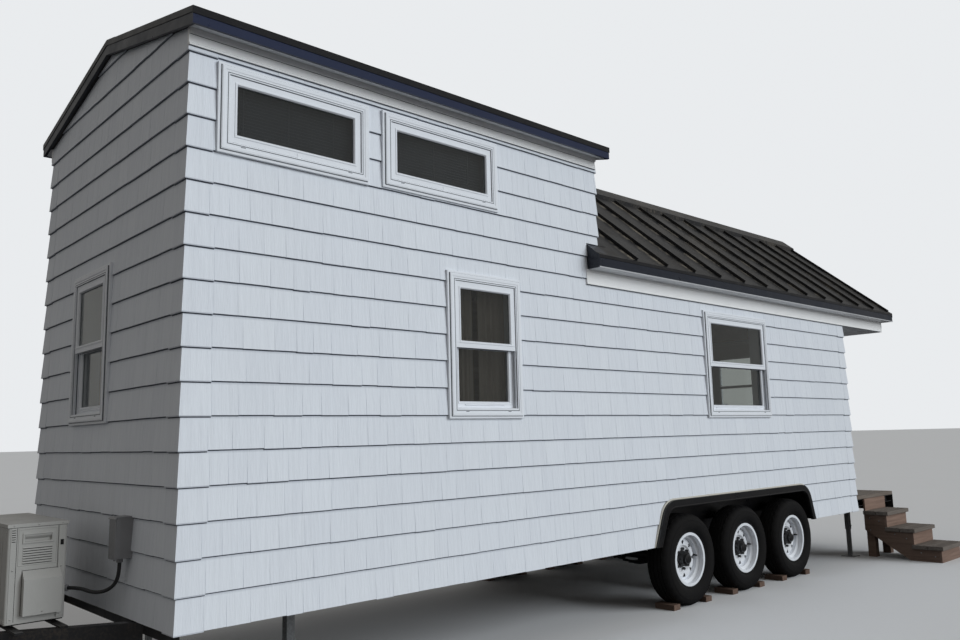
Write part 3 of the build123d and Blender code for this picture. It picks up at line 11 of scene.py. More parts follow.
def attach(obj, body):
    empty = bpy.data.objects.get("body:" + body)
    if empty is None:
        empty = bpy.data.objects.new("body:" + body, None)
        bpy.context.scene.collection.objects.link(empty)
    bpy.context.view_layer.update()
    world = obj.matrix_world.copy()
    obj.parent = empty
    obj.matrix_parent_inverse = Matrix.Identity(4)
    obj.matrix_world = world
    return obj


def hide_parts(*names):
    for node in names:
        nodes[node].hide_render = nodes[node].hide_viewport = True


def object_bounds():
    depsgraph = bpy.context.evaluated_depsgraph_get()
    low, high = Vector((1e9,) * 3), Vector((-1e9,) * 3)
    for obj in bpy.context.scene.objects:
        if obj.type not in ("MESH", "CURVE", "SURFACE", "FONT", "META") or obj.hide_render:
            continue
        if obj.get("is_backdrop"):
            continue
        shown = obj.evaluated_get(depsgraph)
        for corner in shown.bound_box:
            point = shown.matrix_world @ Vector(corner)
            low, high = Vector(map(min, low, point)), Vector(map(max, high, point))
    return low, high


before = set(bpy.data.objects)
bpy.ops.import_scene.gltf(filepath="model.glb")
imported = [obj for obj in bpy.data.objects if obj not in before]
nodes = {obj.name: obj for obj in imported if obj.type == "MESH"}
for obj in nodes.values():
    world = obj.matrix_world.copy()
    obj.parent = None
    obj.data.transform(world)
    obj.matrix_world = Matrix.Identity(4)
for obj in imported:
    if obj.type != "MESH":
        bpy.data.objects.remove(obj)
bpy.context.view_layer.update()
scene = bpy.context.scene
scene.view_settings.view_transform = "Standard"
HOUSE = "house"
TAU = math.tau

# Places that the CAD model fixes
WALL_Y = 1.211
WALL_FRONT = 1.064
WALL_REAR = 8.816
CHEEK_X = 4.436
CHEEK_LOW = 2.9
GABLE_X = 9.906
SIDING_BOTTOM = 0.53
EXPOSURE = 0.1778
BUTT = 0.0135
FRIEZE_X = 4.28
FRIEZE_LOW = 2.615
EAVE_LOW = 2.735
EAVE_X = 4.30
TOWER_FRIEZE = 3.574
DECK_TOP = 0.68
TOWER_RIDGE = 4.058
TOWER_PITCH = 0.24
TOWER_DEPTH = 0.089
TOWER_X = (1.0165, 4.4835)
MAIN_RIDGE = 3.968
MAIN_PITCH = 0.8436
MAIN_DEPTH = 0.186
SEAM_PITCH = 0.424
TOWER_SEAM_X = 1.262
MAIN_SEAM_X = 4.804
WHEELS_X = (5.51, 6.415, 7.32)
WHEEL_Y = 1.1125
WHEEL_Z = 0.38
WHEELS = {
    f"{name}_{place}": (side, x)
    for name, side in (("near", -1), ("far", 1))
    for place, x in zip(("front", "middle", "rear"), WHEELS_X)
}
DOOR_Y = 0.1
JACK_Y = 1.010
UNIT_FACE = 0.505
UNIT_BACK = 0.795
UNIT_SIDE = 0.400
FAN = (UNIT_FACE, 0.153, 0.8025)
BOX_FACE = 0.966

# Windows: centre along the wall, centre height, width and height over the trim
WIDE_WINDOWS = ((1.715, 3.272, 0.961, 0.479), (2.820, 3.280, 0.970, 0.470))
TALL_WINDOWS = ((3.175, 2.064, 0.650, 0.948), (6.455, 2.059, 1.090, 0.940))
END_WINDOW = (0.165, 2.075, 0.640, 0.940)
CASING = 0.018


# Camera, fitted to points measured in the photograph
def add_camera():
    yaw, pitch, roll = 0.746638, 0.140376, -0.024985
    focal_pixels, frame_pixels, sensor = 825.574, 960, 36
    forward = Vector((math.sin(yaw) * math.cos(pitch), math.cos(yaw) * math.cos(pitch), math.sin(pitch)))
    right = Vector((math.cos(yaw), -math.sin(yaw), 0))
    up = right.cross(forward)
    side = right * math.cos(roll) + up * math.sin(roll)
    top = up * math.cos(roll) - right * math.sin(roll)
    data = bpy.data.cameras.new("camera")
    data.sensor_width = sensor
    data.lens = focal_pixels * sensor / frame_pixels
    camera = bpy.data.objects.new("camera", data)
    turn = Matrix((side, top, -forward)).transposed().to_4x4()
    camera.matrix_world = Matrix.Translation((-0.664214, -5.323012, 1.452265)) @ turn
    scene.collection.objects.link(camera)
    scene.camera = camera


add_camera()


# Materials
class Shader:
    """A Principled material with short names for the nodes that vary it."""

    def __init__(self, name, color, rough=0.5, metallic=0.0, coat=0.0, specular=0.5):
        self.material = bpy.data.materials.new(name)
        self.material.use_nodes = True
        self.tree = self.material.node_tree
        self.surface = self.tree.nodes["Principled BSDF"]
        self.put("Base Color", (*color, 1))
        self.put("Roughness", rough)
        self.put("Metallic", metallic)
        self.put("Coat Weight", coat)
        self.put("Specular IOR Level", specular)
        self.place = self.node("ShaderNodeTexCoord").outputs["Object"]
        self.color = None

    def put(self, socket, value):
        self.surface.inputs[socket].default_value = value

    def node(self, kind, **values):
        made = self.tree.nodes.new(kind)
        for key, value in values.items():
            setattr(made, key, value)
        return made

    def link(self, source, target):
        self.tree.links.new(source, target)

    def math(self, operation, first, second=0.0, third=0.0):
        made = self.node("ShaderNodeMath", operation=operation)
        for socket, value in zip(made.inputs, (first, second, third)):
            if isinstance(value, (int, float)):
                socket.default_value = value
            else:
                self.link(value, socket)
        return made.outputs[0]

    def times(self, first, *others):
        for other in others:
            first = self.math("MULTIPLY", first, other)
        return first

    def noise(self, scale, stretch=(1, 1, 1), detail=4.0, rough=0.55):
        """Noise from 0 to 1, spread over most of that range."""
        mapping = self.node("ShaderNodeMapping")
        mapping.inputs["Scale"].default_value = stretch
        self.link(self.place, mapping.inputs["Vector"])
        texture = self.node("ShaderNodeTexNoise")
        texture.inputs["Scale"].default_value = scale
        texture.inputs["Detail"].default_value = detail
        texture.inputs["Roughness"].default_value = rough
        self.link(mapping.outputs[0], texture.inputs["Vector"])
        return self.span(texture.outputs["Fac"], 0.3, 0.7)

    def span(self, value, low, high, to_low=0.0, to_high=1.0):
        made = self.node("ShaderNodeMapRange")
        for name, number in (("From Min", low), ("From Max", high), ("To Min", to_low), ("To Max", to_high)):
            made.inputs[name].default_value = number
        self.link(value, made.inputs["Value"])
        return made.outputs[0]

    def tint(self, amount, color):
        """Mixes a colour into the base colour by amount."""
        mix = self.node("ShaderNodeMix", data_type="RGBA")
        self.link(amount, mix.inputs["Factor"])
        if self.color is None:
            mix.inputs["A"].default_value = self.surface.inputs["Base Color"].default_value
        else:
            self.link(self.color, mix.inputs["A"])
        mix.inputs["B"].default_value = (*color, 1)
        self.color = mix.outputs["Result"]
        self.link(self.color, self.surface.inputs["Base Color"])

    def rough(self, value, low, high):
        self.link(self.span(value, 0, 1, low, high), self.surface.inputs["Roughness"])

    def bump(self, value, depth):
        made = self.node("ShaderNodeBump")
        made.inputs["Strength"].default_value = 1.0
        made.inputs["Distance"].default_value = depth
        self.link(value, made.inputs["Height"])
        previous = self.surface.inputs["Normal"].links
        if previous:
            self.link(previous[0].from_socket, made.inputs["Normal"])
        self.link(made.outputs[0], self.surface.inputs["Normal"])

    def clouds(self, scale, detail, rough, amount, color, shine, grain):
        """Clouds that tint by amount and vary the roughness, over a grain of (scale, detail, depth)."""
        cloud = self.noise(scale, detail=detail, rough=rough)
        self.tint(self.times(cloud, amount), color)
        self.rough(cloud, *shine)
        self.bump(self.noise(grain[0], detail=grain[1]), grain[2])
        return self.material

    def tone(self):
        """The tone from 0 to 1 that each body of a Solid carries."""
        return self.node("ShaderNodeAttribute", attribute_name="tone").outputs["Fac"]

    def axes(self):
        split = self.node("ShaderNodeSeparateXYZ")
        self.link(self.place, split.inputs[0])
        return split.outputs


def painted_shingle():
    # The paint is a cool white: its blue cast is painted sky light.
    made = Shader("paint_shingle", (0.795, 0.825, 0.875), 0.52)
    grain = made.noise(30, (1.6, 1.6, 0.07), 6, 0.62)
    fine = made.noise(150, (1.5, 1.5, 0.05), 3)
    made.tint(made.span(made.tone(), 0, 1, 0, 0.26), (0.67, 0.70, 0.77))
    made.tint(made.span(grain, 0.35, 1, 0, 0.24), (0.59, 0.61, 0.66))
    made.tint(made.span(fine, 0.55, 1, 0, 0.20), (0.90, 0.91, 0.94))
    stain = made.noise(1.1, (1, 1, 0.5), 5, 0.6)
    made.tint(made.times(stain, 0.10), (0.70, 0.70, 0.68))
    # Painted shade: a darker band at the top of each course, just under the butt of the course above.
    height = made.math("SUBTRACT", made.axes()[2], SIDING_BOTTOM)
    course = made.math("WRAP", height, EXPOSURE, 0.0)
    made.tint(made.span(course, EXPOSURE - 0.020, EXPOSURE - 0.004, 0.0, 0.45), (0.26, 0.28, 0.33))
    made.rough(grain, 0.42, 0.62)
    made.bump(made.math("ADD", grain, made.times(fine, 0.4)), 0.0011)
    return made.material


def painted_trim(name="paint_trim", color=(0.83, 0.85, 0.89)):
    # The default trim paint is a cool white: its blue cast is painted sky light.
    made = Shader(name, color, 0.38)
    return made.clouds(6, 5, 0.55, 0.12, (0.66, 0.68, 0.71), (0.30, 0.46), (90, 3, 0.00025))


def roof_metal(name="roof_metal", dust_and_light=0.34, first_seam=None):
    """Dark sheet metal with dust and streaks; from first_seam on, a painted highlight lies on the panel
    before each seam.
    """
    made = Shader(name, (0.014, 0.0145, 0.0165), 0.34, specular=0.28)
    dust = made.noise(3.2, detail=8, rough=0.68)
    speck = made.noise(55, detail=6, rough=0.7)
    made.tint(made.span(made.times(dust, speck), 0.18, 0.75, 0.0, dust_and_light), (0.105, 0.09, 0.072))
    streak = made.times(made.noise(40, (1, 0.045, 0.045), 5, 0.6), made.noise(1.3, detail=4))
    made.tint(made.span(streak, 0.36, 0.80, 0.0, 0.95 * dust_and_light), (0.17, 0.145, 0.115))
    # Painted highlight: a lighter band on the panel just before each seam, standing in for light glinting off
    # the seam's leg.
    if first_seam is not None:
        along = made.axes()[0]
        past = made.math("WRAP", made.math("SUBTRACT", along, first_seam), SEAM_PITCH, 0.0)
        near = made.span(past, SEAM_PITCH - 0.085, SEAM_PITCH - 0.025)
        off_seam = made.math("LESS_THAN", past, SEAM_PITCH - 0.0085)
        patchy = made.span(made.noise(7, detail=6, rough=0.66), 0.35, 0.85)
        fading = made.span(along, 4.6, 8.6, 0.90, 0.25)
        made.tint(made.times(near, off_seam, patchy, fading), (0.40, 0.35, 0.28))
    made.rough(dust, 0.26, 0.48)
    made.bump(made.noise(2.2, detail=2), 0.006)
    made.bump(made.noise(70, detail=4), 0.0004)
    return made.material


def fascia_metal(name="fascia_metal", color=(0.020, 0.026, 0.055)):
    made = Shader(name, color, 0.36, specular=0.30)
    lighter = tuple(2.4 * value for value in color)
    return made.clouds(4, 6, 0.65, 0.16, lighter, (0.24, 0.44), (3, 2, 0.003))


def black_paint(name, shine, dirt, color=(0.018, 0.018, 0.020)):
    made = Shader(name, color, shine, coat=0.2)
    cloud = made.noise(5, detail=8, rough=0.7)
    speck = made.noise(80, detail=4)
    made.tint(made.span(made.times(cloud, speck), 0.2, 0.8, 0, dirt), (0.10, 0.078, 0.06))
    made.rough(cloud, shine - 0.08, shine + 0.2)
    made.bump(speck, 0.0003)
    return made.material


def wheel_paint():
    """White rim and disc, black hub, nuts and drum, told apart by the distance from the axle."""
    half_gap = (WHEELS_X[1] - WHEELS_X[0]) / 2
    made = Shader("wheel_paint", (0.84, 0.86, 0.90), 0.28, coat=0.4)
    axes = made.axes()
    across = made.math("WRAP", made.math("SUBTRACT", axes[0], WHEELS_X[0]), half_gap, -half_gap)
    up = made.math("SUBTRACT", axes[2], WHEEL_Z)
    radius = made.math("SQRT", made.math("ADD", made.times(across, across), made.times(up, up)))
    out = made.math("ABSOLUTE", axes[1])
    hub = made.times(made.math("LESS_THAN", radius, 0.0972), made.math("GREATER_THAN", out, 1.1184))
    drum = made.times(made.math("LESS_THAN", radius, 0.1625), made.math("LESS_THAN", out, 1.1112))
    cloud = made.noise(14, detail=7, rough=0.66)
    made.tint(made.span(cloud, 0.45, 1, 0, 0.12), (0.42, 0.38, 0.33))
    made.tint(made.times(made.span(radius, 0.10, 0.17, 0.28, 0.0), cloud), (0.30, 0.25, 0.20))
    made.tint(made.math("MAXIMUM", hub, drum), (0.016, 0.016, 0.017))
    made.bump(made.noise(60, detail=3), 0.0002)
    return made.material


def rubber():
    made = Shader("tyre_rubber", (0.0062, 0.0062, 0.0070), 0.66, specular=0.35)
    return made.clouds(7, 8, 0.7, 0.16, (0.050, 0.045, 0.040), (0.55, 0.85), (160, 4, 0.0004))


def zinc():
    made = Shader("zinc", (0.42, 0.43, 0.44), 0.42, 0.85)
    cells = made.node("ShaderNodeTexVoronoi")
    cells.inputs["Scale"].default_value = 90
    made.link(made.place, cells.inputs["Vector"])
    tone = made.times(cells.outputs["Distance"], 1.4)
    made.tint(made.span(tone, 0, 1, 0, 0.5), (0.24, 0.25, 0.26))
    made.rough(tone, 0.32, 0.6)
    return made.material


def wood(name, light, dark, along=0, rough=0.72, depth=0.0008, painted=False):
    """Boards with grain that runs along axis 0, 1 or 2; painted ones are white outside the rooms."""
    made = Shader(name, light, rough)
    stretch = [1.0, 1.0, 1.0]
    stretch[along] = 0.05
    grain = made.noise(38, stretch, 8, 0.66)
    made.tint(made.span(grain, 0.15, 0.95, 0, 0.75), dark)
    made.tint(made.times(made.noise(7, stretch, 3), 0.30), tuple(0.6 * value for value in dark))
    made.tint(made.span(made.tone(), 0, 1, 0, 0.25), dark)
    if painted:
        axes = made.axes()
        front, rear = made.math("LESS_THAN", axes[0], 1.17), made.math("GREATER_THAN", axes[0], 8.71)
        sides = made.math("GREATER_THAN", made.math("ABSOLUTE", axes[1]), 1.10)
        made.tint(made.math("MAXIMUM", sides, made.math("MAXIMUM", front, rear)), (0.77, 0.79, 0.83))
    made.rough(grain, rough - 0.12, rough + 0.12)
    made.bump(grain, depth)
    return made.material


def plain(name, color, rough=0.5, vary=0.15, metallic=0.0):
    made = Shader(name, color, rough, metallic)
    darker = tuple(0.55 * value for value in color)
    return made.clouds(9, 6, 0.62, vary, darker, (rough - 0.07, rough + 0.09), (120, 3, 0.0002))


def window_glass():
    made = Shader("window_glass", (0.82, 0.87, 0.86), 0.03)
    made.put("Transmission Weight", 1.0)
    made.put("IOR", 1.5)
    made.bump(made.noise(1.3, detail=0), 0.0009)
    return made.material


SHINGLE = painted_shingle()
TRIM = painted_trim()
# The soffit boards and porch ceiling take a greyer copy of the white trim paint: painted shade for the shade
# under the eaves and porch roof.
SOFFIT = painted_trim("paint_soffit", (0.70, 0.71, 0.73))
DOOR = painted_trim("paint_door", (0.70, 0.72, 0.75))
# The frieze boards take a lighter, warmer copy of the trim paint: painted light that makes up for the shade
# under the eave.
FRIEZE = painted_trim("paint_frieze", (0.90, 0.89, 0.88))
ROOF = roof_metal(first_seam=MAIN_SEAM_X)
TOWER_ROOF = roof_metal("tower_metal", first_seam=TOWER_SEAM_X)
# The ridge caps take the light tint much stronger: partly dust, partly painted sunlight on the ridge.
RIDGE = roof_metal("ridge_metal", 0.62)
FASCIA = fascia_metal()
EAVE = fascia_metal("eave_metal", (0.015, 0.018, 0.027))
CHASSIS = black_paint("chassis_paint", 0.45, 0.38)
FENDER = black_paint("fender_paint", 0.30, 0.12, (0.0075, 0.0075, 0.0085))
WHEEL = wheel_paint()
TYRE = rubber()
ZINC = zinc()
GLASS = window_glass()
PINE = wood("inside_boards", (0.42, 0.30, 0.19), (0.24, 0.15, 0.085), 0, 0.6, painted=True)
FLOORING = wood("floor_boards", (0.22, 0.14, 0.085), (0.10, 0.06, 0.035), 0, 0.5)
DECK = wood("deck_boards", (0.26, 0.22, 0.19), (0.11, 0.09, 0.075), 0, 0.8)
STRINGER = wood("stringer_wood", (0.250, 0.170, 0.130), (0.135, 0.086, 0.064), 1)
RISER = wood("riser_wood", (0.300, 0.202, 0.158), (0.150, 0.099, 0.078))
TREAD = wood("tread_wood", (0.235, 0.205, 0.182), (0.115, 0.096, 0.082), 0, 0.82, 0.0012)
CHOCK = wood("chock_wood", (0.20, 0.135, 0.105), (0.10, 0.064, 0.050), 1, 0.8)
# The outdoor unit's off-white is darkened to a grey beige: painted shade from the house beside it.
BEIGE = plain("unit_beige", (0.51, 0.50, 0.475), 0.42, 0.10)
WIRE = plain("unit_wire", (0.50, 0.49, 0.45), 0.45)
DARK = plain("dark_gap", (0.012, 0.012, 0.013), 0.7)
BOX_GREY = plain("box_grey", (0.29, 0.29, 0.30), 0.48, 0.2)
CONDUIT = plain("conduit", (0.020, 0.020, 0.022), 0.4)
STEEL = plain("lever_steel", (0.55, 0.55, 0.56), 0.28, 0.1, 1.0)
BLIND = plain("blind_slats", (0.36, 0.37, 0.44), 0.5)
CURTAIN = plain("curtain", (0.44, 0.37, 0.32), 0.85)
DRIP = plain("drip_edge", (0.50, 0.50, 0.51), 0.35, 0.1)
SEAL_AND_SHADOW = plain("seal", (0.11, 0.12, 0.14), 0.6)
PAINTED_SHADOW = plain("butt_shadow", (0.080, 0.090, 0.118), 0.7, 0.3)
EDGE = plain("roof_edge", (0.010, 0.010, 0.012), 0.4)
CREAM = plain("cream_channel", (0.66, 0.63, 0.56), 0.5, 0.1)
BLACK = plain("black_parts", (0.014, 0.014, 0.015), 0.42)

for material, names in (
    (PINE, "near_wall_front near_wall_rear far_wall_front far_wall_rear front_wall rear_wall cheek_wall"),
    (SHINGLE, "rear_gable"),
    (FLOORING, "floor"),
    (FENDER, "wheel_wells fenders"),
    (DECK, "porch_deck"),
    (SOFFIT, "porch_ceiling"),
    (TOWER_ROOF, "near_tower_roof far_tower_roof"),
    (ROOF, "near_main_roof far_main_roof"),
    (RIDGE, "ridge_caps"),
    (FASCIA, "tower_fascias"),
    (EAVE, "rake_boards eave_boxes"),
    (FRIEZE, "frieze_boards"),
    (TRIM, "window_frames window_sashes door_frame"),
    (GLASS, "window_glass"),
    (DOOR, "entrance_door"),
    (STEEL, "door_lever"),
    (CHASSIS, "main_rails side_rails cross_members tongue_rails coupler"),
    (CHASSIS, "axles unit_supports leaf_springs spring_hangers"),
    (ZINC, "tongue_jack corner_jacks"),
    (STRINGER, "stair_stringers"),
    (RISER, "stair_risers"),
    (TREAD, "stair_treads"),
    (CHOCK, "wheel_chocks"),
    (BEIGE, "unit_cabinet"),
    (WIRE, "unit_grille"),
    (BOX_GREY, "disconnect_box"),
    (CONDUIT, "whip"),
    (TYRE, " ".join(wheel + "_tyre" for wheel in WHEELS)),
    (WHEEL, " ".join(wheel + "_wheel" for wheel in WHEELS)),
):
    for name in names.split():
        mesh = nodes[name].data
        mesh.materials.clear()
        mesh.materials.append(material)


# The flexible conduit between the outdoor unit and its box
def add_conduit():
    points = (
        (1.010, -0.585, 0.826), (1.010, -0.585, 0.762), (0.995, -0.563, 0.705), (0.960, -0.520, 0.672),
        (0.915, -0.464, 0.666), (0.866, -0.401, 0.692), (0.819, -0.354, 0.692),
    )
    data = bpy.data.curves.new("conduit", "CURVE")
    data.dimensions = "3D"
    spline = data.splines.new("NURBS")
    spline.points.add(len(points) - 1)
    for point, place in zip(spline.points, points):
        point.co = (*place, 1)
    spline.order_u = 3
    spline.use_endpoint_u = True
    spline.resolution_u = 12
    data.bevel_depth = 0.010
    data.bevel_resolution = 5
    data.use_fill_caps = True
    data.materials.append(CONDUIT)
    made = bpy.data.objects.new("conduit", data)
    scene.collection.objects.link(made)
    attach(made, HOUSE)
    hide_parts("whip")


add_conduit()


# Mesh building
def mm(*points, at=(0.0, 0.0)):
    """Outline points in millimetres, counted from a place in metres."""
    return [(at[0] + first / 1000, at[1] + second / 1000) for first, second in points]


def mirrored(outline, side):
    """The same (radius, along) outline, turned to the other side where side is -1."""
    return [(radius, side * along) for radius, along in outline]


class Solid:
    """Collects closed bodies, each with a tone from 0 to 1, and makes one piece of them."""

    def __init__(self):
        self.points = []
        self.faces = []
        self.tones = []

    def add(self, points, faces, tone=0.5):
        start = len(self.points)
        self.points += [Vector(point) for point in points]
        self.faces += [[start + index for index in face] for face in faces]
        self.tones += [tone] * len(points)

    def loft(self, rings, tone=0.5, closed=False, caps=True):
        """Joins rings of equally many points; closed joins the last ring to the first."""
        count = len(rings[0])
        faces = []
        for i in range(len(rings) if closed else len(rings) - 1):
            here, there = i * count, (i + 1) % len(rings) * count
            for j in range(count):
                k = (j + 1) % count
                faces.append([here + j, here + k, there + k, there + j])
        if caps and not closed:
            faces.append(list(range(count))[::-1])
            faces.append([(len(rings) - 1) * count + j for j in range(count)])
        self.add([point for ring in rings for point in ring], faces, tone)

    def box(self, low, high, tone=0.5):
        corners = [(x, y, z) for x in (low[0], high[0]) for y in (low[1], high[1]) for z in (low[2], high[2])]
        faces = [[0, 1, 3, 2], [4, 6, 7, 5], [0, 4, 5, 1], [2, 3, 7, 6], [0, 2, 6, 4], [1, 5, 7, 3]]
        self.add(corners, faces, tone)

    def lathe(self, outline, centre, axis=1, count=48):
        """Turns (radius, along) points about an axis through centre."""
        first, second = [i for i in range(3) if i != axis]
        rings = []
        for step in range(count):
            angle = TAU * step / count
            ring = []
            for radius, along in outline:
                point = Vector(centre)
                point[axis] += along
                point[first] += radius * math.cos(angle)
                point[second] += radius * math.sin(angle)
                ring.append(point)
            rings.append(ring)
        self.loft(rings, closed=True)

    def disc(self, centre, axis, radius, low, high, count=16):
        """A round body from low to high along an axis through centre."""
        self.lathe(((0.0001, low), (radius, low), (radius, high), (0.0001, high)), centre, axis, count)

    def piece(self, name, material, slot, body=HOUSE, bevel=0.0, smooth=False, replaces=()):
        mesh = bpy.data.meshes.new(name)
        mesh.from_pydata(self.points, [], self.faces)
        mesh.materials.append(material)
        mesh.attributes.new("tone", "FLOAT", "POINT").data.foreach_set("value", self.tones)
        clean(mesh)
        made = bpy.data.objects.new(name, mesh)
        scene.collection.objects.link(made)
        if bevel:
            modifier = made.modifiers.new("bevel", "BEVEL")
            modifier.width = bevel
            modifier.segments = 2
            modifier.limit_method = "ANGLE"
            modifier.angle_limit = math.radians(40)
        if smooth:
            for polygon in mesh.polygons:
                polygon.use_smooth = True
            mesh.set_sharp_from_angle(angle=math.radians(32))
        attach(made, body)
        if replaces:
            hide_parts(*replaces)


def clean(mesh):
    """Turns every face outwards and drops doubled points."""
    work = bmesh.new()
    work.from_mesh(mesh)
    bmesh.ops.remove_doubles(work, verts=work.verts, dist=1e-6)
    bmesh.ops.dissolve_degenerate(work, edges=work.edges, dist=1e-6)
    bmesh.ops.recalc_face_normals(work, faces=work.faces)
    work.to_mesh(mesh)
    work.free()


# Clipping in the plane of a wall: points are (u, z)
def clip(points, a, b, c):
    """Part of a convex outline where a u + b z is at most c."""
    out = []
    for i, here in enumerate(points):
        there = points[(i + 1) % len(points)]
        inside_here = a * here[0] + b * here[1] - c
        inside_there = a * there[0] + b * there[1] - c
        if inside_here <= 0:
            out.append(here)
        if inside_here * inside_there < 0:
            share = inside_here / (inside_here - inside_there)
            out.append((here[0] + share * (there[0] - here[0]), here[1] + share * (there[1] - here[1])))
    return out


def area(points):
    total = 0
    for i, here in enumerate(points):
        there = points[(i + 1) % len(points)]
        total += here[0] * there[1] - there[0] * here[1]
    return abs(total) / 2


def edges_of(hole):
    """Half-planes (a, b, c) of a convex outline that runs anticlockwise; inside is a u + b z <= c."""
    out = []
    for i, here in enumerate(hole):
        there = hole[(i + 1) % len(hole)]
        a, b = there[1] - here[1], here[0] - there[0]
        out.append((a, b, a * here[0] + b * here[1]))
    return out


def cut(outline, holes):
    """A convex outline less convex holes, as convex pieces."""
    pieces = [outline]
    for hole in holes:
        low = min(u for u, z in hole), min(z for u, z in hole)
        high = max(u for u, z in hole), max(z for u, z in hole)
        kept = []
        for piece in pieces:
            us, zs = [u for u, z in piece], [z for u, z in piece]
            if max(us) <= low[0] or min(us) >= high[0] or max(zs) <= low[1] or min(zs) >= high[1]:
                kept.append(piece)
                continue
            rest = piece
            for a, b, c in edges_of(hole):
                outside = clip(rest, -a, -b, -c)
                if len(outside) > 2 and area(outside) > 2e-6:
                    kept.append(outside)
                rest = clip(rest, a, b, c)
                if len(rest) < 3:
                    break
        pieces = kept
    return pieces


def rectangle(u0, u1, z0, z1):
    return [(u0, z0), (u1, z0), (u1, z1), (u0, z1)]


def window_hole(along, height, width, tall):
    half, rise = width / 2 + CASING + 0.001, tall / 2 + CASING + 0.001
    return rectangle(along - half, along + half, height - rise, height + rise)


def arch_outline(inset):
    """Wheel arch in (x, z), anticlockwise."""
    foot_front, head_front, head_rear, foot_rear = 4.993, 5.155, 7.640, 7.754
    top, radius, steps = 0.888, 0.190, 9
    corners = ((foot_rear, SIDING_BOTTOM), (head_rear, top), (head_front, top), (foot_front, SIDING_BOTTOM))
    out = [(foot_front - inset, SIDING_BOTTOM - 0.1), (foot_rear + inset, SIDING_BOTTOM - 0.1)]
    out.append((foot_rear + inset, SIDING_BOTTOM))
    for i in (1, 2):
        before, here, after = (Vector(corners[j]) for j in (i - 1, i, i + 1))
        to_before, to_after = (before - here).normalized(), (after - here).normalized()
        half = to_before.angle(to_after) / 2
        run = radius / math.tan(half)
        centre = here + (to_before + to_after).normalized() * radius / math.sin(half)
        start, end = here + to_before * run - centre, here + to_after * run - centre
        angle_start, angle_end = math.atan2(start.y, start.x), math.atan2(end.y, end.x)
        for step in range(steps + 1):
            angle = angle_start + (angle_end - angle_start) * step / steps
            reach = radius + inset
            out.append((centre.x + reach * math.cos(angle), centre.y + reach * math.sin(angle)))
    out.append((foot_front - inset, SIDING_BOTTOM))
    return out


def facing(axis, at, sign):
    """Turns (u, z, depth) in front of a wall that stands across an axis into a point."""

    def place(u, z, depth):
        out = at + sign * depth
        return Vector((u, out, z) if axis else (out, u, z))

    return place


near_place = facing(1, -WALL_Y, -1)
far_place = facing(1, WALL_Y, 1)
front_place = facing(0, WALL_FRONT, -1)
rear_place = facing(0, WALL_REAR, 1)
cheek_place = facing(0, CHEEK_X, 1)
gable_place = facing(0, GABLE_X, 1)
unit_side = facing(1, -UNIT_SIDE, -1)
unit_face = facing(0, UNIT_FACE, -1)
unit_back = facing(0, UNIT_BACK, 1)
SIDES = (("near", near_place), ("far", far_place))
ENDS = ("front", "rear")


def shingle_wall(name, place, u0, u1, low, high, limits, holes, seed, mitres=(True, True), upper_end=None):
    """Courses of shingles on a wall, with a dark strip of painted shadow under each.

    Limits are half-planes that end the wall. Above CHEEK_LOW it also turns a corner at upper_end, if given.
    """
    chance = random.Random(seed)
    solid, lines = Solid(), Solid()
    thin, joint, dropped = 0.003, 0.0009, 0.0028
    corner, corner_drop, corner_deep = 0.15, -0.006, BUTT + 0.001
    shadow, shadow_deep = 0.0062, 0.0052

    def slab(target, piece, base, deep, tone):
        slope = 0.0 if target is lines else (deep - thin) / EXPOSURE

        def front(u, z):
            depth = max(deep - slope * (z - base), 0.001)
            if mitres[0] and abs(u - u0) < 1e-5:
                u -= depth
            at_upper = upper_end is not None and z > CHEEK_LOW and abs(u - upper_end) < 1e-5
            if at_upper or mitres[1] and abs(u - u1) < 1e-5:
                u += depth
            return place(u, z, depth)

        outer = [front(u, z) for u, z in piece]
        inner = [place(u, z, 0) for u, z in piece]
        count = len(piece)
        faces = [list(range(count)), list(range(count, 2 * count))[::-1]]
        faces += [[i, (i + 1) % count, count + (i + 1) % count, count + i] for i in range(count)]
        target.add(outer + inner, faces, tone)

    def add(target, outline, base, deep, tone):
        for a, b, c in limits:
            outline = clip(outline, a, b, c)
            if len(outline) < 3:
                return
        for piece in cut(outline, holes):
            if area(piece) > 4e-6:
                slab(target, piece, base, deep, tone)

    first = math.floor((low - SIDING_BOTTOM) / EXPOSURE + 1e-6)
    last = math.ceil((high - SIDING_BOTTOM) / EXPOSURE - 1e-6)
    for course in range(first, last):
        base = SIDING_BOTTOM + course * EXPOSURE
        start, end = max(base, low), min(base + EXPOSURE, high)
        add(solid, rectangle(u0, u1, start + 0.0015, end), base, BUTT - 0.0028, 0.5)
        u = u0
        while u < u1 - 1e-6:
            wide = chance.uniform(0.10, 0.21)
            lower = chance.uniform(-0.0008, 0.0012) - (dropped if chance.random() < 0.12 else 0.0)
            deep = BUTT + chance.uniform(-0.0009, 0.0003)
            if u == u0 and mitres[0]:
                wide, lower, deep = corner + chance.uniform(-0.03, 0.01), corner_drop, corner_deep
            left = u1 - u - wide
            if left < 0.085:
                wide = u1 - u
            elif mitres[1] and 0.12 < left < 0.26:
                wide = max(u1 - u - corner, 0.09)
            at_end = abs(u + wide - u1) < 1e-6
            if mitres[1] and at_end:
                lower, deep = corner_drop, corner_deep
            bottom = max(base + lower, low - 0.006) if start == base else start
            next_u = u1 if at_end else u + wide
            joint_left = 0.0 if u == u0 else joint
            joint_right = 0.0 if next_u == u1 else joint
            outline = rectangle(u + joint_left, next_u - joint_right, bottom, end)
            add(solid, outline, base, deep, chance.random())
            # Painted shadow: a dark strip under each butt, where the course above shades the one below.
            if course > first and start == base:
                outline = rectangle(u, next_u, bottom - shadow, bottom + 0.002)
                add(lines, outline, base, shadow_deep, chance.random())
            u = next_u
    solid.piece(name, SHINGLE, "siding")
    lines.piece(name + "_shadows", PAINTED_SHADOW, "siding")


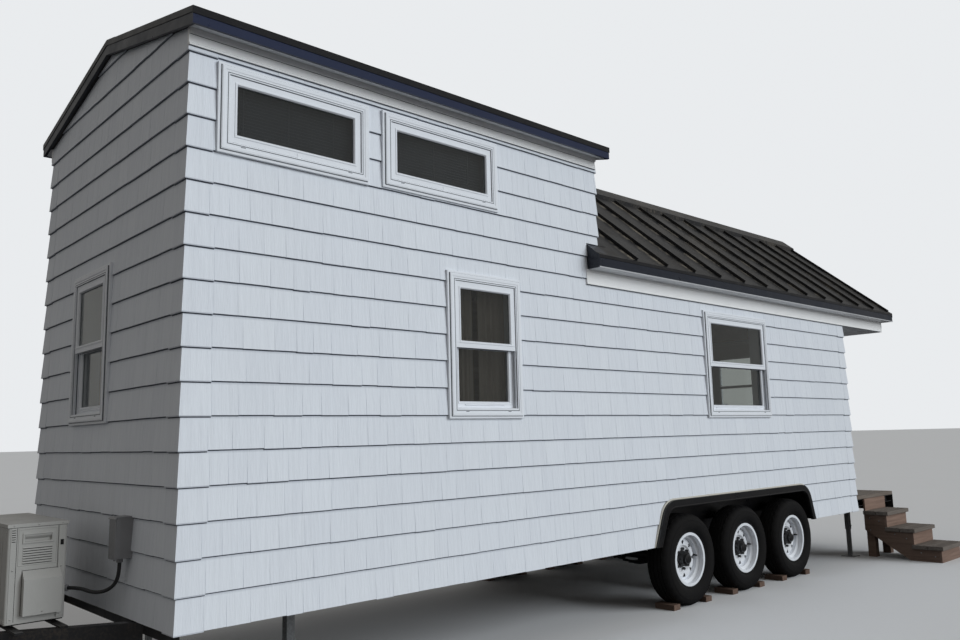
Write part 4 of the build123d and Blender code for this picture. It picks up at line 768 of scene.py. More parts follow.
ROOF_LOW, PAST_ROOF, TOWER_TOP = 2.948, 9.2, 3.97
side_holes = [window_hole(*window) for window in (*WIDE_WINDOWS, *TALL_WINDOWS)]
side_holes += [
    arch_outline(0.014),
    rectangle(FRIEZE_X, PAST_ROOF, FRIEZE_LOW, EAVE_LOW),
    rectangle(EAVE_X, PAST_ROOF, EAVE_LOW, ROOF_LOW),
    rectangle(CHEEK_X, PAST_ROOF, ROOF_LOW, 4.2),
]
for seed, (name, place) in enumerate(SIDES, 11):
    shingle_wall(
        name + "_shingles", place, WALL_FRONT, WALL_REAR, SIDING_BOTTOM, TOWER_FRIEZE, (), side_holes, seed,
        upper_end=CHEEK_X,
    )
tower_peak = TOWER_RIDGE - TOWER_DEPTH - 0.001
tower_limits = ((TOWER_PITCH, 1, tower_peak), (-TOWER_PITCH, 1, tower_peak))
shingle_wall(
    "front_shingles", front_place, -WALL_Y, WALL_Y, SIDING_BOTTOM, TOWER_TOP, tower_limits,
    [window_hole(*END_WINDOW)], 13,
)
door_hole = rectangle(DOOR_Y - 0.491, DOOR_Y + 0.491, 0.6, 2.613)
shingle_wall("rear_shingles", rear_place, -WALL_Y, WALL_Y, DECK_TOP, FRIEZE_LOW, (), [door_hole], 14)
main_peak = MAIN_RIDGE + 0.03
for name, u0, u1, side, seed, mitres in (
    ("cheek_shingles_far", 0.0, WALL_Y, -1, 15, (False, True)),
    ("cheek_shingles_near", -WALL_Y, 0.0, 1, 16, (True, False)),
):
    limits = (*tower_limits, (side * MAIN_PITCH, -1, -main_peak))
    shingle_wall(name, cheek_place, u0, u1, CHEEK_LOW, TOWER_TOP, limits, (), seed, mitres)
gable_peak = MAIN_RIDGE - MAIN_DEPTH - 0.001
gable_edge = WALL_Y + 0.018
shingle_wall(
    "gable_shingles", gable_place, -gable_edge, gable_edge, FRIEZE_LOW, 3.79,
    ((MAIN_PITCH, 1, gable_peak), (-MAIN_PITCH, 1, gable_peak)),
    [rectangle(-2, -WALL_Y, EAVE_LOW, 4), rectangle(WALL_Y, 2, EAVE_LOW, 4)], 17, (False, False),
)


# Mouldings and windows
def strip(solid, place, u0, u1, section, tone=0.5):
    """A moulding of constant section, given as (z, depth) points, from u0 to u1."""
    solid.loft([[place(u, z, depth) for z, depth in section] for u in (u0, u1)], tone)


def block(solid, place, u0, u1, z0, z1, d0, d1):
    strip(solid, place, u0, u1, ((z0, d0), (z0, d1), (z1, d1), (z1, d0)))


def corners_of(middle, size, inset):
    return [
        (middle[0] + along * (size[0] / 2 - inset), middle[1] + up * (size[1] / 2 - inset))
        for along, up in ((-1, -1), (1, -1), (1, 1), (-1, 1))
    ]


def frame_ring(solid, place, middle, size, section):
    """A mitred frame round a rectangle; the section is (inset, depth) points."""
    corners = [corners_of(middle, size, inset) for inset, depth in section]
    rings = [[place(*corner[i], depth) for corner, (inset, depth) in zip(corners, section)] for i in range(4)]
    solid.loft(rings, closed=True)


def dress_window(name, place, window, double):
    """Casing, seals, beads, sill and tracks round the frame and sashes that the CAD model gives."""
    along, height, width, tall = window
    middle, whole, outer = (along, height), (width, tall), (width + 2 * CASING, tall + 2 * CASING)
    clear = (width - 0.09, tall - 0.09)
    paint, dark = Solid(), Solid()
    for solid, size, section in (
        (paint, outer, mm((0, 0), (0, 24), (1.6, 25.6), (15, 26.4), (17.8, 26.2), (17.8, 0))),
        (paint, whole, mm((2.2, 33.5), (3, 35.2), (4.8, 36.6), (19, 36.6), (22, 35), (22, 33.5))),
        (dark, whole, mm((-3, 25.5), (-3, 27.2), (-1, 33), (-0.2, 33), (-0.2, 25.5))),
        (dark, whole, mm((34, 33.4), (34, 34.2), (38.4, 34.2), (38.4, 33.4))),
        (dark, clear, mm((0, 25), (0, 27.5), (3.2, 27.5), (3.2, 25))),
    ):
        frame_ring(solid, place, middle, size, section)
    rail, meeting = 0.048, 0.042
    if double:
        sash = (clear[1] + meeting) / 2
        opening = (clear[0] - 2 * rail, sash - rail - meeting)
        shift = (clear[1] - sash) / 2 - 0.003
        panes = ((height + shift, 0.013, opening), (height - shift, -0.019, opening))
    else:
        panes = ((height, 0.013, (clear[0] - 2 * rail, clear[1] - 2 * rail)),)
    for pane_z, depth, size in panes:
        bead = ((-12, 12.5), (-12, 15.2), (-10.5, 16.4), (-2, 16.4), (4.5, 8), (4.5, -0.2), (0, -0.2))
        frame_ring(paint, place, (along, pane_z), size, mm(*bead, at=(0, depth)))
        seal = ((4.5, -0.2), (4.5, 1.6), (6.2, 1.6), (6.2, -0.2))
        frame_ring(dark, place, (along, pane_z), size, mm(*seal, at=(0, depth)))
    half, bottom = clear[0] / 2, height - clear[1] / 2
    left, right = along - half, along + half
    if double:
        sill = ((-0.2, -6.5), (13, -6.5), (10.5, 0), (4.5, 32.5), (-0.2, 33.5))
        strip(paint, place, left, right, mm(*sill, at=(bottom, 0)))
        # Painted shadow: a dark strip under the upper sash's bottom rail, on the face of the lower sash.
        block(dark, place, left, right, height - 0.0240, height - 0.0208, -0.0060, -0.0040)
        for side, edge in ((-1, left), (1, right)):
            for solid, reach, d0, d1 in (
                (paint, 0.0085, -0.0055, 0.0005), (paint, 0.0065, 0.0085, 0.0135),
                (paint, 0.0085, 0.0195, 0.0245), (dark, 0.0012, 0.0005, 0.0085),
            ):
                u0, u1 = sorted((edge, edge - side * reach))
                block(solid, place, u0, u1, bottom + 0.004, height - 0.0212, d0, d1)
        lift = ((24, -6.2), (27, 1.2), (31, 1.2), (34, -3), (34, -6.2))
        strip(paint, place, left + 0.10, right - 0.10, mm(*lift, at=(bottom, 0)))
        block(paint, place, left + 0.006, right - 0.006, height + 0.012, height + 0.018, 0.0255, 0.0285)
    else:
        block(paint, place, along - 0.011, along + 0.011, bottom + 0.001, bottom + 0.030, 0.0255, 0.0280)
    for side in (-1, 1):
        u, z = along + side * (half - 0.085), height - tall / 2 + 0.029
        block(dark, place, u - 0.014, u + 0.014, z - 0.002, z + 0.002, 0.0335, 0.0346)
    paint.piece(name + "_casing", TRIM, "trim")
    dark.piece(name + "_seals_and_shadow", SEAL_AND_SHADOW, "trim")


def blinds(name, place, window):
    along, height, width, tall = window
    half, rise = width / 2 - 0.050, tall / 2 - 0.050
    left, right, low, high = along - half, along + half, height - rise, height + rise
    chance = random.Random(len(name))
    slats = Solid()
    z = low
    while z < high - 0.02:
        slat = mm((0, -74), (1, -74.5), (19, -60), (18, -59.5), at=(z + chance.uniform(-0.0008, 0.0008), 0))
        strip(slats, place, left, right, slat, chance.random())
        z += 0.0195
    block(slats, place, left, right, high - 0.018, high + 0.004, -0.078, -0.052)
    for share in (-0.72, -0.05, 0.66):
        u = along + share * half
        block(slats, place, u - 0.0012, u + 0.0012, low, high, -0.0578, -0.0566)
    slats.piece(name + "_blind", BLIND, "trim")


def curtain(name, place, window):
    along, height, width, tall = window
    half, rise, steps = width / 2 - 0.052, tall / 2 - 0.050, 60
    cloth = Solid()
    for side in (-1, 1):
        front, back = [], []
        for step in range(steps + 1):
            share = step / steps
            u = along + side * half * (1 - 0.92 * share)
            wave = 0.011 * math.sin(26 * share + side) + 0.004 * math.sin(61 * share)
            front.append((u, -0.094 + wave))
            back.append((u, -0.0955 + wave))
        outline = front + back[::-1]
        start, count = len(cloth.points), len(outline)
        rings = [[place(u, z, depth) for u, depth in outline] for z in (height - rise, height + rise)]
        cloth.loft(rings, caps=False)
        for j in range(steps):
            cap = [j, j + 1, count - 2 - j, count - 1 - j]
            cloth.faces.append([start + index for index in cap])
            cloth.faces.append([start + count + index for index in cap[::-1]])
    cloth.piece(name + "_curtain", CURTAIN, "trim", smooth=True)


for name, place in SIDES:
    for kind, windows, double in (("wide", WIDE_WINDOWS, False), ("tall", TALL_WINDOWS, True)):
        for end, window in zip(ENDS, windows):
            dress_window(f"{name}_{kind}_{end}", place, window, double)
    for end, window in zip(ENDS, WIDE_WINDOWS):
        blinds(f"{name}_wide_{end}", place, window)
    curtain(name + "_tall_front", place, TALL_WINDOWS[0])
dress_window("end", front_place, END_WINDOW, True)

# Frieze mouldings
for name, place in SIDES:
    boards, lines = Solid(), Solid()
    for low, high, u0, u1, mouldings, dark_lines in (
        (
            TOWER_FRIEZE, TOWER_FRIEZE + 0.100, WALL_FRONT - 0.012, CHEEK_X,
            (
                ((-36, 17.8), (-36, 25.5), (-33, 28.5), (-26, 30), (-12, 34.5), (-1.2, 35), (-1.2, 17.8)),
                ((0.5, 17.8), (0.5, 22.5), (2, 24), (11, 24), (12.8, 22), (12.8, 17.8)),
            ),
            ((0.0615, 0.0638), (0.0130, 0.0150)),
        ),
        (
            FRIEZE_LOW, EAVE_LOW, FRIEZE_X, GABLE_X,
            (
                ((-21.2, 17.8), (-18.2, 21.5), (-1.2, 26.5), (-1.2, 17.8)),
                ((0.5, 17.8), (0.5, 20), (2, 21.2), (11, 21.2), (14, 17.8)),
            ),
            (),
        ),
    ):
        for base, section in zip((high, low), mouldings):
            strip(boards, place, u0, u1, mm(*section, at=(base, 0)))
        # Painted shadow: dark strips for the shadow lines at the frieze's moulding steps and under its bottom
        # edge.
        for bottom, top in dark_lines:
            block(lines, place, u0, u1, low + bottom, low + top, 0.0176, 0.0188)
        block(lines, place, u0, u1, low - 0.0022, low - 0.0002, 0.0010, 0.0205)
    corner = (WALL_FRONT - 0.0145, WALL_FRONT - 0.0002, TOWER_FRIEZE, TOWER_FRIEZE + 0.0995)
    block(boards, place, *corner, 0.0, 0.0180)
    boards.piece("frieze_" + name, FRIEZE, "frieze")
    lines.piece("frieze_lines_" + name, SEAL_AND_SHADOW, "frieze")


# Roof edges, soffits and seams
def along_slope(solid, side, y0, y1, ridge, pitch, section):
    """A trim that runs down a slope; the section is (x, rise above the roof) points."""
    solid.loft([[(x, side * y, ridge - pitch * y + rise) for x, rise in section] for y in (y0, y1)])


def along_eave(solid, side, x0, x1, section):
    """A trim that runs along an eave; the section is (distance from the middle, z) points."""
    solid.loft([[(x, side * y, z) for y, z in section] for x in (x0, x1)])


def rake_edge(outer, inner, reach, foot, top):
    """Section of a sheet bent over the end of a roof."""
    return ((outer, foot), (outer, top), (reach, top), (reach, 0.0006), (inner, 0.0006), (inner, foot))


edge, pale, seams, drip = Solid(), Solid(), Solid(), Solid()
main_end, main_eave, tower_eave = 9.9835, 1.343, 1.345
tower, main = (TOWER_RIDGE, TOWER_PITCH), (MAIN_RIDGE, MAIN_PITCH)
for side in (-1, 1):
    eave = ((0.2, -40), (4.2, -40), (4.2, 1.5), (-15, 6.2), (-15, 4), (0.2, 0.4))
    section = mm(*eave, at=(tower_eave, TOWER_RIDGE - TOWER_PITCH * tower_eave))
    along_eave(edge, side, *TOWER_X, section)
    for outer, inward in zip(TOWER_X, (1, -1)):
        section = rake_edge(outer, outer + inward * 0.0037, outer + inward * 0.0435, -0.034, 0.003)
        along_slope(edge, side, 0.0, 1.3485, *tower, section)
    board = ((1.2295, 0.0002), (1.3265, 0.0002), (1.3265, 0.0030), (1.2295, 0.0030))
    soffit = [(y, TOWER_RIDGE - TOWER_DEPTH - TOWER_PITCH * y - drop) for y, drop in board]
    along_eave(pale, side, TOWER_X[0] + 0.022, TOWER_X[1] - 0.022, soffit)
    for i in range(8):
        x = TOWER_SEAM_X + SEAM_PITCH * i
        for half, rise in ((0.006, 0.026), (0.019, 0.0025)):
            section = ((x - half, -0.001), (x - half, rise), (x + half, rise), (x + half, -0.001))
            along_slope(seams, side, 0.148, 1.262, *tower, section)
    eave = ((0.2, -22), (3.8, -22), (3.8, 3), (-22.5, 21.6), (-22.5, 19.2), (0.2, 0.4))
    section = mm(*eave, at=(main_eave, MAIN_RIDGE - MAIN_PITCH * main_eave))
    along_eave(edge, side, EAVE_X, main_end - 0.001, section)
    section = rake_edge(main_end, main_end - 0.0033, main_end - 0.0435, -0.045, 0.0035)
    along_slope(edge, side, 0.0, 1.3465, *main, section)
    flashing = ((0, -1), (0, 82), (2.8, 82), (2.8, 4), (95, 4), (95, -1))
    along_slope(edge, side, 0.03, 1.2090, *main, mm(*flashing, at=(4.45, 0)))
    soffit = mm((1230, -3), (1340, -3), (1340, -0.2), (1230, -0.2), at=(0, EAVE_LOW))
    along_eave(pale, side, EAVE_X + 0.002, 9.9600, soffit)
    board = mm((0, -0.2), (41, -0.2), (41, -4), (0, -4), at=(9.9205, 0))
    along_slope(pale, side, 0.0, WALL_Y, MAIN_RIDGE - MAIN_DEPTH, MAIN_PITCH, board)
    line = mm((-3, -2.2), (3.2, -2.2), (3.2, 7.5), (0.5, 7.5), (0.5, 0), (-3, 0), at=(main_eave, EAVE_LOW))
    along_eave(drip, side, EAVE_X - 0.002, 9.9815, line)
edge.piece("roof_edges", EDGE, "fascia")
pale.piece("soffit_boards", SOFFIT, "soffit")
seams.piece("tower_seams", TOWER_ROOF, "roof_metal")
drip.piece("eave_drip", DRIP, "fascia")


# Wheel arches
def follow_arch(solid, side, section):
    """A trim round the wheel arch; the section is (inset, depth in front of the bare wall) points."""
    outlines = [(arch_outline(inset)[2:], side * (WALL_Y + depth)) for inset, depth in section]
    count = len(outlines[0][0])
    solid.loft([[(outline[i][0], y, outline[i][1]) for outline, y in outlines] for i in range(count)])


channel, bead = Solid(), Solid()
for side in (-1, 1):
    follow_arch(channel, side, mm((13.2, 0), (13.2, 16.5), (12, 17.8), (2, 17.8), (0.8, 16.5), (0.8, 0)))
    radius, angles = 0.0065, [TAU * k / 10 for k in range(10)]
    follow_arch(bead, side, [(-0.056 + radius * math.cos(a), 0.0345 + radius * math.sin(a)) for a in angles])
channel.piece("arch_channels", CREAM, "trim", smooth=True)
bead.piece("fender_beads", FENDER, "fender_metal", smooth=True)


# Tyres, valve stems and hubs
def tyre_section():
    """Half of the outline is given, as (radius, distance from the middle) points."""
    outer = mm(
        (222.5, 80), (224, 86.8), (230, 91.2), (236, 93.8), (240, 94.6), (244, 98.5), (256, 104.8),
        (270, 109.2), (285, 111.7), (300, 112.5), (314, 112), (323, 110.8), (323.8, 112.2), (326.2, 111.8),
        (327, 109.8), (338, 106.4), (348, 101.8), (356, 96.6), (363, 90.4), (368.2, 83.8), (372.4, 76.6),
        (375.4, 69), (377.4, 61.2), (378, 58.5), (371, 57.5), (371, 50.5), (378.5, 49.5), (379.7, 30),
        (379.8, 25), (371.5, 24), (371.5, 16.5), (379.9, 15.5), (380, 6),
    )
    inner = mm((364, 0), (362, 50), (354, 78), (330, 98), (300, 103), (260, 96), (222.5, 70))
    return outer + mirrored(outer[::-1], -1) + mirrored(inner[::-1], -1) + inner[1:]


def dress_wheel(stem, side, x):
    body = stem + "_wheel_body"
    section, rings, count = tyre_section(), [], 150
    # Every fifth step has a notch in the shoulders, and two steps on, one in the ribs between the grooves
    notches = ((0, 0.0612, 0.0905, 0.362, 0.0045), (2, 0.0290, 0.0500, 0.378, 0.0050))
    for step in range(count):
        angle = TAU * step / count
        ring = []
        for radius, along in section:
            for turn, inner, outer, least, depth in notches:
                if step % 5 == turn and inner <= abs(along) <= outer and radius > least:
                    radius -= depth
            across, up = radius * math.cos(angle), radius * math.sin(angle)
            ring.append((x + across, side * (WHEEL_Y + along), WHEEL_Z + up))
        rings.append(ring)
    tyre = Solid()
    tyre.loft(rings, closed=True)
    tyre.piece(stem + "_rubber", TYRE, "tyre_rubber", body, smooth=True, replaces=(stem + "_tyre",))

    angle, reach = math.radians(4 if side < 0 else 176), 0.166
    centre = (x + reach * math.cos(angle), side * (WHEEL_Y + 0.004), WHEEL_Z + reach * math.sin(angle))
    outline = mm((0.1, -2), (8.5, -2), (8.5, 6), (6, 12), (5, 30), (6, 31), (6, 43), (4.5, 45), (0.1, 45))
    valve = Solid()
    valve.lathe(mirrored(outline, side), centre, 1, 16)
    valve.piece(stem + "_valve", TYRE, "tyre_rubber", body, smooth=True)

    centre = (x, side * (WHEEL_Y + 0.005), WHEEL_Z)
    cap = mm(
        (0.1, 75), (20, 74.5), (30, 72.5), (36, 68), (38.5, 61), (40, 51), (44.5, 50), (44.5, 46), (0.1, 46)
    )
    hub = Solid()
    hub.lathe(mirrored(cap, side), centre, 1, 40)
    rim = mm((55, 44), (60.8, 44), (62.5, 40), (62.5, 2), (70, 0), (55, 0))
    hub.lathe(mirrored(rim, side), centre, 1, 48)
    hub.piece(stem + "_hub_trim", BLACK, "wheel_white", body, smooth=True)


for stem, (side, x) in WHEELS.items():
    dress_wheel(stem, side, x)

# Chocks, stair, deck and porch ceiling
chance = random.Random(5)
blocks = Solid()
for side in (-1, 1):
    for x in WHEELS_X:
        for end in (-1, 1):
            middle, y = x + end * 0.2368, side * WHEEL_Y
            blocks.box((middle - 0.045, y - 0.095, 0.0), (middle + 0.045, y + 0.095, 0.045), chance.random())
blocks.piece("wood_chocks", CHOCK, "chock_wood", bevel=0.003, replaces=("wheel_chocks",))

treads, screws = Solid(), Solid()
front, rear, thick, gap = 9.025, 9.631, 0.042, 0.007
for top, y0, y1 in ((0.170, -1.991, -1.676), (0.340, -1.721, -1.406), (0.510, -1.451, -1.181)):
    wide = (y1 - y0 - gap) / 2
    for start in (y0, y0 + wide + gap):
        shift = chance.uniform(0.0, 0.004)
        high = (rear + shift, start + wide, top - chance.uniform(0, 0.0015))
        treads.box((front + shift, start, top - thick), high, chance.random())
        for x in (9.068, 9.592):
            for share in (0.25, 0.75):
                y = start + share * wide + chance.uniform(-0.004, 0.004)
                screws.disc((x, y, top - 0.0016), 2, 0.0046, 0.0, 0.0022, 14)
treads.piece("tread_boards", TREAD, "tread_wood", bevel=0.0035, replaces=("stair_treads",))
screws.piece("tread_screws", DARK, "tread_wood")

deck, screws = Solid(), Solid()
count, half, joint = 17, 1.181, 0.0025
front, rear, thick = 8.8165, 9.9, 0.040
pitch = 2 * half / count
for i in range(count):
    y = -half + i * pitch
    low = (front, y + (0 if i == 0 else joint), DECK_TOP - thick)
    high = (rear, y + pitch - (0 if i == count - 1 else joint), DECK_TOP - chance.uniform(0, 0.001))
    deck.box(low, high, chance.random())
deck.piece("deck_boards", DECK, "deck_boards", bevel=0.003, replaces=("porch_deck",))
for i in range(count):
    for x in (8.86, 9.24, 9.60, 9.865):
        for share in (0.22, 0.78):
            y = -half + (i + share) * pitch + chance.uniform(-0.003, 0.003)
            centre = (x + chance.uniform(-0.004, 0.004), y, DECK_TOP - 0.0021)
            screws.disc(centre, 2, 0.0045, 0.0, 0.0025, 10)
screws.piece("deck_screws", DARK, "deck_boards")

ceiling = Solid()
count, half, joint, chamfer = 28, 1.210, 0.0004, 0.0040
back, lip, face = 2.6152, 2.6140, 2.6108
pitch = 2 * half / count
for i in range(count):
    y0, y1 = -half + i * pitch, -half + (i + 1) * pitch
    section = (
        (y0 + joint, back), (y0 + joint, lip), (y0 + chamfer, face),
        (y1 - chamfer, face), (y1 - joint, lip), (y1 - joint, back),
    )
    ceiling.loft([[(x, y, z) for y, z in section] for x in (8.8305, 9.9055)], chance.random())
ceiling.piece("ceiling_boards", SOFFIT, "soffit")

bolts = Solid()
bolt_places = (
    (-1.90, 0.06), (-1.76, 0.09), (-1.62, 0.23), (-1.50, 0.27), (-1.34, 0.40), (-1.24, 0.43), (-1.24, 0.30),
)
for x, out in ((9.0495, -1), (9.6105, 1)):
    head = mirrored(mm((0.1, -2), (7, -2), (6.2, 2.2), (3.5, 3.6), (0.1, 4)), out)
    for y, z in bolt_places:
        bolts.lathe(head, (x, y, z), 0, 14)
bolts.piece("stair_bolts", ZINC, "stringer_wood", smooth=True)

# Entrance door
trims = Solid()
light = (
    (0, -0.2), (0, 7), (3, 9.5), (18, 9.5), (23.5, 5), (25.8, -6), (25.8, -15), (24, -15), (24, -0.2),
)
frame_ring(trims, rear_place, (DOOR_Y, 1.995), (0.612, 0.752), mm(*light))
middle, size = (DOOR_Y, 1.2165), (0.560, 0.605)
panel = ((-12, -0.2), (-12, 3.5), (-8, 5.5), (0, 3.5), (12, -6), (20, -11), (0.5, -11), (0.5, -0.2))
frame_ring(trims, rear_place, middle, size, mm(*panel))
steps = ((0.045, -0.0112), (0.045, -0.0102), (0.080, -0.0030))
trims.loft([[rear_place(u, z, depth) for u, z in corners_of(middle, size, inset)] for inset, depth in steps])
trims.piece("door_mouldings", DOOR, "door_skin")

casing = Solid()
left, right, head = DOOR_Y - 0.4895, DOOR_Y + 0.4895, 2.6105
block(casing, rear_place, left, left + 0.014, DECK_TOP + 0.082, head, 0.0195, 0.0245)
block(casing, rear_place, right - 0.014, right, DECK_TOP + 0.082, head, 0.0195, 0.0245)
block(casing, rear_place, left, right, head - 0.0140, head + 0.0003, 0.0195, 0.0246)
casing.piece("door_casing_bands", TRIM, "trim", bevel=0.0012)

sill = Solid()
section = ((0.2, -40), (0.2, 30), (4, 33.5), (10, 32), (24, -2), (24.5, -40))
strip(sill, rear_place, DOOR_Y - 0.405, DOOR_Y + 0.405, mm(*section, at=(0.76, 0)))
for k in range(4):
    z, depth = 0.7700 + 0.0006 * k, 0.0240 - 0.006 * k
    block(sill, rear_place, DOOR_Y - 0.400, DOOR_Y + 0.400, z, 0.7722 + 0.0012 * k, depth, depth + 0.0022)
for z in (0.96, 1.66, 2.36):
    for k in range(3):
        low = z - 0.048 + 0.033 * k
        sill.disc((WALL_REAR + 0.0068, -0.3085, 0.0), 2, 0.0065, low, low + 0.0315)
    block(sill, rear_place, -0.3210, -0.2950, z - 0.048, z + 0.048, 0.0001, 0.0016)
sill.piece("door_sill_and_hinges", STEEL, "trim", smooth=True)

lever = Solid()
lever_y, lever_z, lock_z = 0.443, 1.788, 1.935
for z, radius, tall in ((lever_z, 27, 12), (lock_z, 29, 16)):
    rim = ((radius, -0.2), (radius, tall - 6), (radius - 5, tall - 1), (radius - 12, tall))
    lever.lathe(mm((0.1, -0.2), *rim, (0.1, tall)), (WALL_REAR, lever_y, z), 0, 40)
lever.lathe(mm((0.1, 11), (10.5, 11), (10, 46), (0.1, 46)), (WALL_REAR, lever_y, lever_z), 0, 24)
rings = []
angles = [TAU * k / 16 for k in range(16)]
for share in (0.0, 0.04, 0.12, 0.3, 0.6, 0.85, 0.96, 1.0):
    swell = math.sqrt(max(0.04, 1 - (2 * share - 1) ** 8))
    half, deep = 0.0102 * swell * (1 - 0.22 * share), 0.0058 * swell
    x = WALL_REAR + 0.040 - 0.006 * math.sin(math.pi * share)
    y, z = 0.455 - 0.118 * share, lever_z - 0.004 * share
    rings.append([(x + deep * math.cos(angle), y, z + half * math.sin(angle)) for angle in angles])
lever.loft(rings)
low = (WALL_REAR + 0.0155, lever_y - 0.0025, lock_z - 0.006)
high = (WALL_REAR + 0.0168, lever_y + 0.0025, lock_z + 0.006)
lever.box(low, high)
lever.piece("door_handle", STEEL, "lever_metal", smooth=True, replaces=("door_lever",))


# Outdoor unit
def tube(solid, path, radius, normal=(1, 0, 0), closed=False):
    """A round wire along a path that lies across normal."""
    rings = []
    count, sides = len(path), 6
    turns = [(math.cos(TAU * k / sides), math.sin(TAU * k / sides)) for k in range(sides)]
    first = Vector(normal)
    for i, point in enumerate(path):
        before = path[(i - 1) % count] if closed or i else point
        after = path[(i + 1) % count] if closed or i < count - 1 else point
        second = (Vector(after) - Vector(before)).normalized().cross(first)
        rings.append([Vector(point) + radius * (first * a + second * b) for a, b in turns])
    solid.loft(rings, closed=closed)


def round_fan(x, radius, angle):
    """A point at a distance and an angle from the middle of the fan."""
    return (x, FAN[1] + radius * math.cos(angle), FAN[2] + radius * math.sin(angle))


shell, gaps = Solid(), Solid()
lid, under_lid, panel_low, panel_high = 1.0390, 1.0368, 0.560, 1.0350
shell.box((UNIT_FACE - 0.0045, -0.4045, lid), (UNIT_BACK + 0.0045, 0.4045, 1.0570))
for solid, place, *reach in (
    (gaps, unit_side, 0.506, 0.794, under_lid, lid, 0.0, 0.0012),
    (gaps, unit_face, -0.399, 0.399, under_lid, lid, 0.0, 0.0012),
    (shell, unit_side, 0.518, 0.545, panel_low, panel_high, -0.0005, 0.0030),
    (shell, unit_side, 0.752, 0.782, panel_low, panel_high, -0.0005, 0.0030),
    (gaps, unit_side, 0.547, 0.549, panel_low, panel_high, 0.0, 0.0006),
    (gaps, unit_side, 0.748, 0.750, panel_low, panel_high, 0.0, 0.0006),
    (gaps, unit_face, -0.0862, -0.0842, 0.556, under_lid, 0.0, 0.0007),
):
    block(solid, place, *reach)
# Painted shade: a dark strip in each vent slot under its hood.
for k in range(6):
    z = 0.965 + 0.0115 * k
    block(gaps, unit_side, 0.5225, 0.5405, z, z + 0.0038, 0.0028, 0.0036)
    hood = mm((3.8, 2.8), (3.8, 5.8), (5, 6), (8.5, 3.2), (8.5, 2.8), at=(z, 0))
    strip(shell, unit_side, 0.5220, 0.5410, hood)
for middle, size, section in (
    ((0.650, 0.980), (0.152, 0.056), ((0, -0.2), (0, 3), (2, 5.5), (8, 6), (10.5, 4), (11, -0.2))),
    ((0.650, 0.935), (0.190, 0.190), ((0, -0.2), (0, 1.2), (1.5, 2.2), (3.5, 2.2), (5, 1), (5, -0.2))),
):
    frame_ring(shell, unit_side, middle, size, mm(*section))
grip = ((17, -1), (17, 5), (10, 3.5), (2, -4.5), (0, -8), (-1, -8), (4, -2), (8, -1))
strip(shell, unit_side, 0.586, 0.714, mm(*grip, at=(0.98, 0)))
# Painted shade: a dark sheet at the back of the grip's recess.
block(gaps, unit_side, 0.586, 0.714, 0.9634, 0.9966, -0.0215, -0.0200)
# Painted shade: a dark strip in the slot under each louvre.
for k in range(7):
    z = 0.8520 + 0.0128 * k
    louvre = mm((0, -0.2), (0, 4.8), (1.2, 5.6), (8.2, 1), (8.2, -0.2), at=(z, 0))
    strip(shell, unit_side, 0.578, 0.722, louvre)
    block(gaps, unit_side, 0.580, 0.720, z - 0.0034, z, 0.0, 0.0012)
block(gaps, unit_side, 0.760, 0.776, 0.932, 0.960, 0.0028, 0.0036)
frame_ring(shell, unit_side, (0.768, 0.946), (0.0215, 0.0335), mm((0, 2.5), (0, 4.6), (2.2, 4.6), (2.6, 2.5)))
frame_ring(gaps, unit_side, (0.6725, 0.7025), (0.189, 0.229), mm((0, 0), (0, 0.8), (2.2, 0.8), (2.2, 0)))
screw = mm((0.1, 0.5), (5.2, 0.5), (4.8, -1.6), (3, -2.6), (0.1, -2.8))
for u, z, depth in (
    (0.6725, 0.605, 0.045), (0.532, 1.048, 0.0045), (0.650, 1.048, 0.0045), (0.768, 1.048, 0.0045),
    (0.532, 0.575, 0.003), (0.767, 0.575, 0.003), (0.532, 0.820, 0.003), (0.767, 0.820, 0.003),
):
    y = -UNIT_SIDE - depth
    shell.lathe(screw, (u, y, z), 1, 16)
    gaps.box((u - 0.0036, y - 0.0030, z - 0.0006), (u + 0.0036, y - 0.0026, z + 0.0006))
screw = mm((0.1, 0.5), (5, 0.5), (4.6, -1.4), (2.8, -2.4), (0.1, -2.6))
for y in (-0.37, -0.11, 0.385, -0.06):
    for z in (0.575, 1.015):
        shell.lathe(screw, (UNIT_FACE, y, z), 0, 16)
mouth = mm(
    (226.2, 30), (226.2, -1), (230, -5), (237, -7), (244, -5), (248, 0), (248, 1), (228.5, 1), (228.5, 30)
)
shell.lathe(mouth, FAN, 0, 96)
for z in (0.560, 0.569):
    block(shell, unit_face, -0.392, 0.392, z, z + 0.0030, -0.0002, 0.0018)
for u in (-0.30, -0.26, -0.22, -0.18):
    block(shell, unit_face, u, u + 0.006, 0.62, 0.99, -0.0002, 0.0018)
shell.piece("unit_panels", BEIGE, "cabinet_beige", bevel=0.0010)
gaps.piece("unit_gaps", DARK, "cabinet_beige")

wires = Solid()
wire_x = UNIT_FACE - 0.0045
for k in range(14):
    path = [round_fan(wire_x - 0.0012, 0.034 + 0.0152 * k, TAU * j / 72) for j in range(72)]
    tube(wires, path, 0.0013, closed=True)
for k in range(12):
    spoke = [round_fan(wire_x + 0.0014, radius, TAU * (k + 0.5) / 12) for radius in (0.030, 0.236)]
    tube(wires, spoke, 0.0017)
wires.lathe(mm((0.1, -3), (28, -3), (34, -1), (34, 2), (0.1, 2)), (wire_x, *FAN[1:]), 0, 40)
for angle in (45, 135, 225, 315):
    clip_outline = mm((0.1, 3), (7.5, 3), (7.5, -1.8), (0.1, -2.6))
    wires.lathe(clip_outline, round_fan(wire_x, 0.2390, math.radians(angle)), 0, 16)
wires.piece("unit_wires", WIRE, "grille_wire", smooth=True, replaces=("unit_grille",))

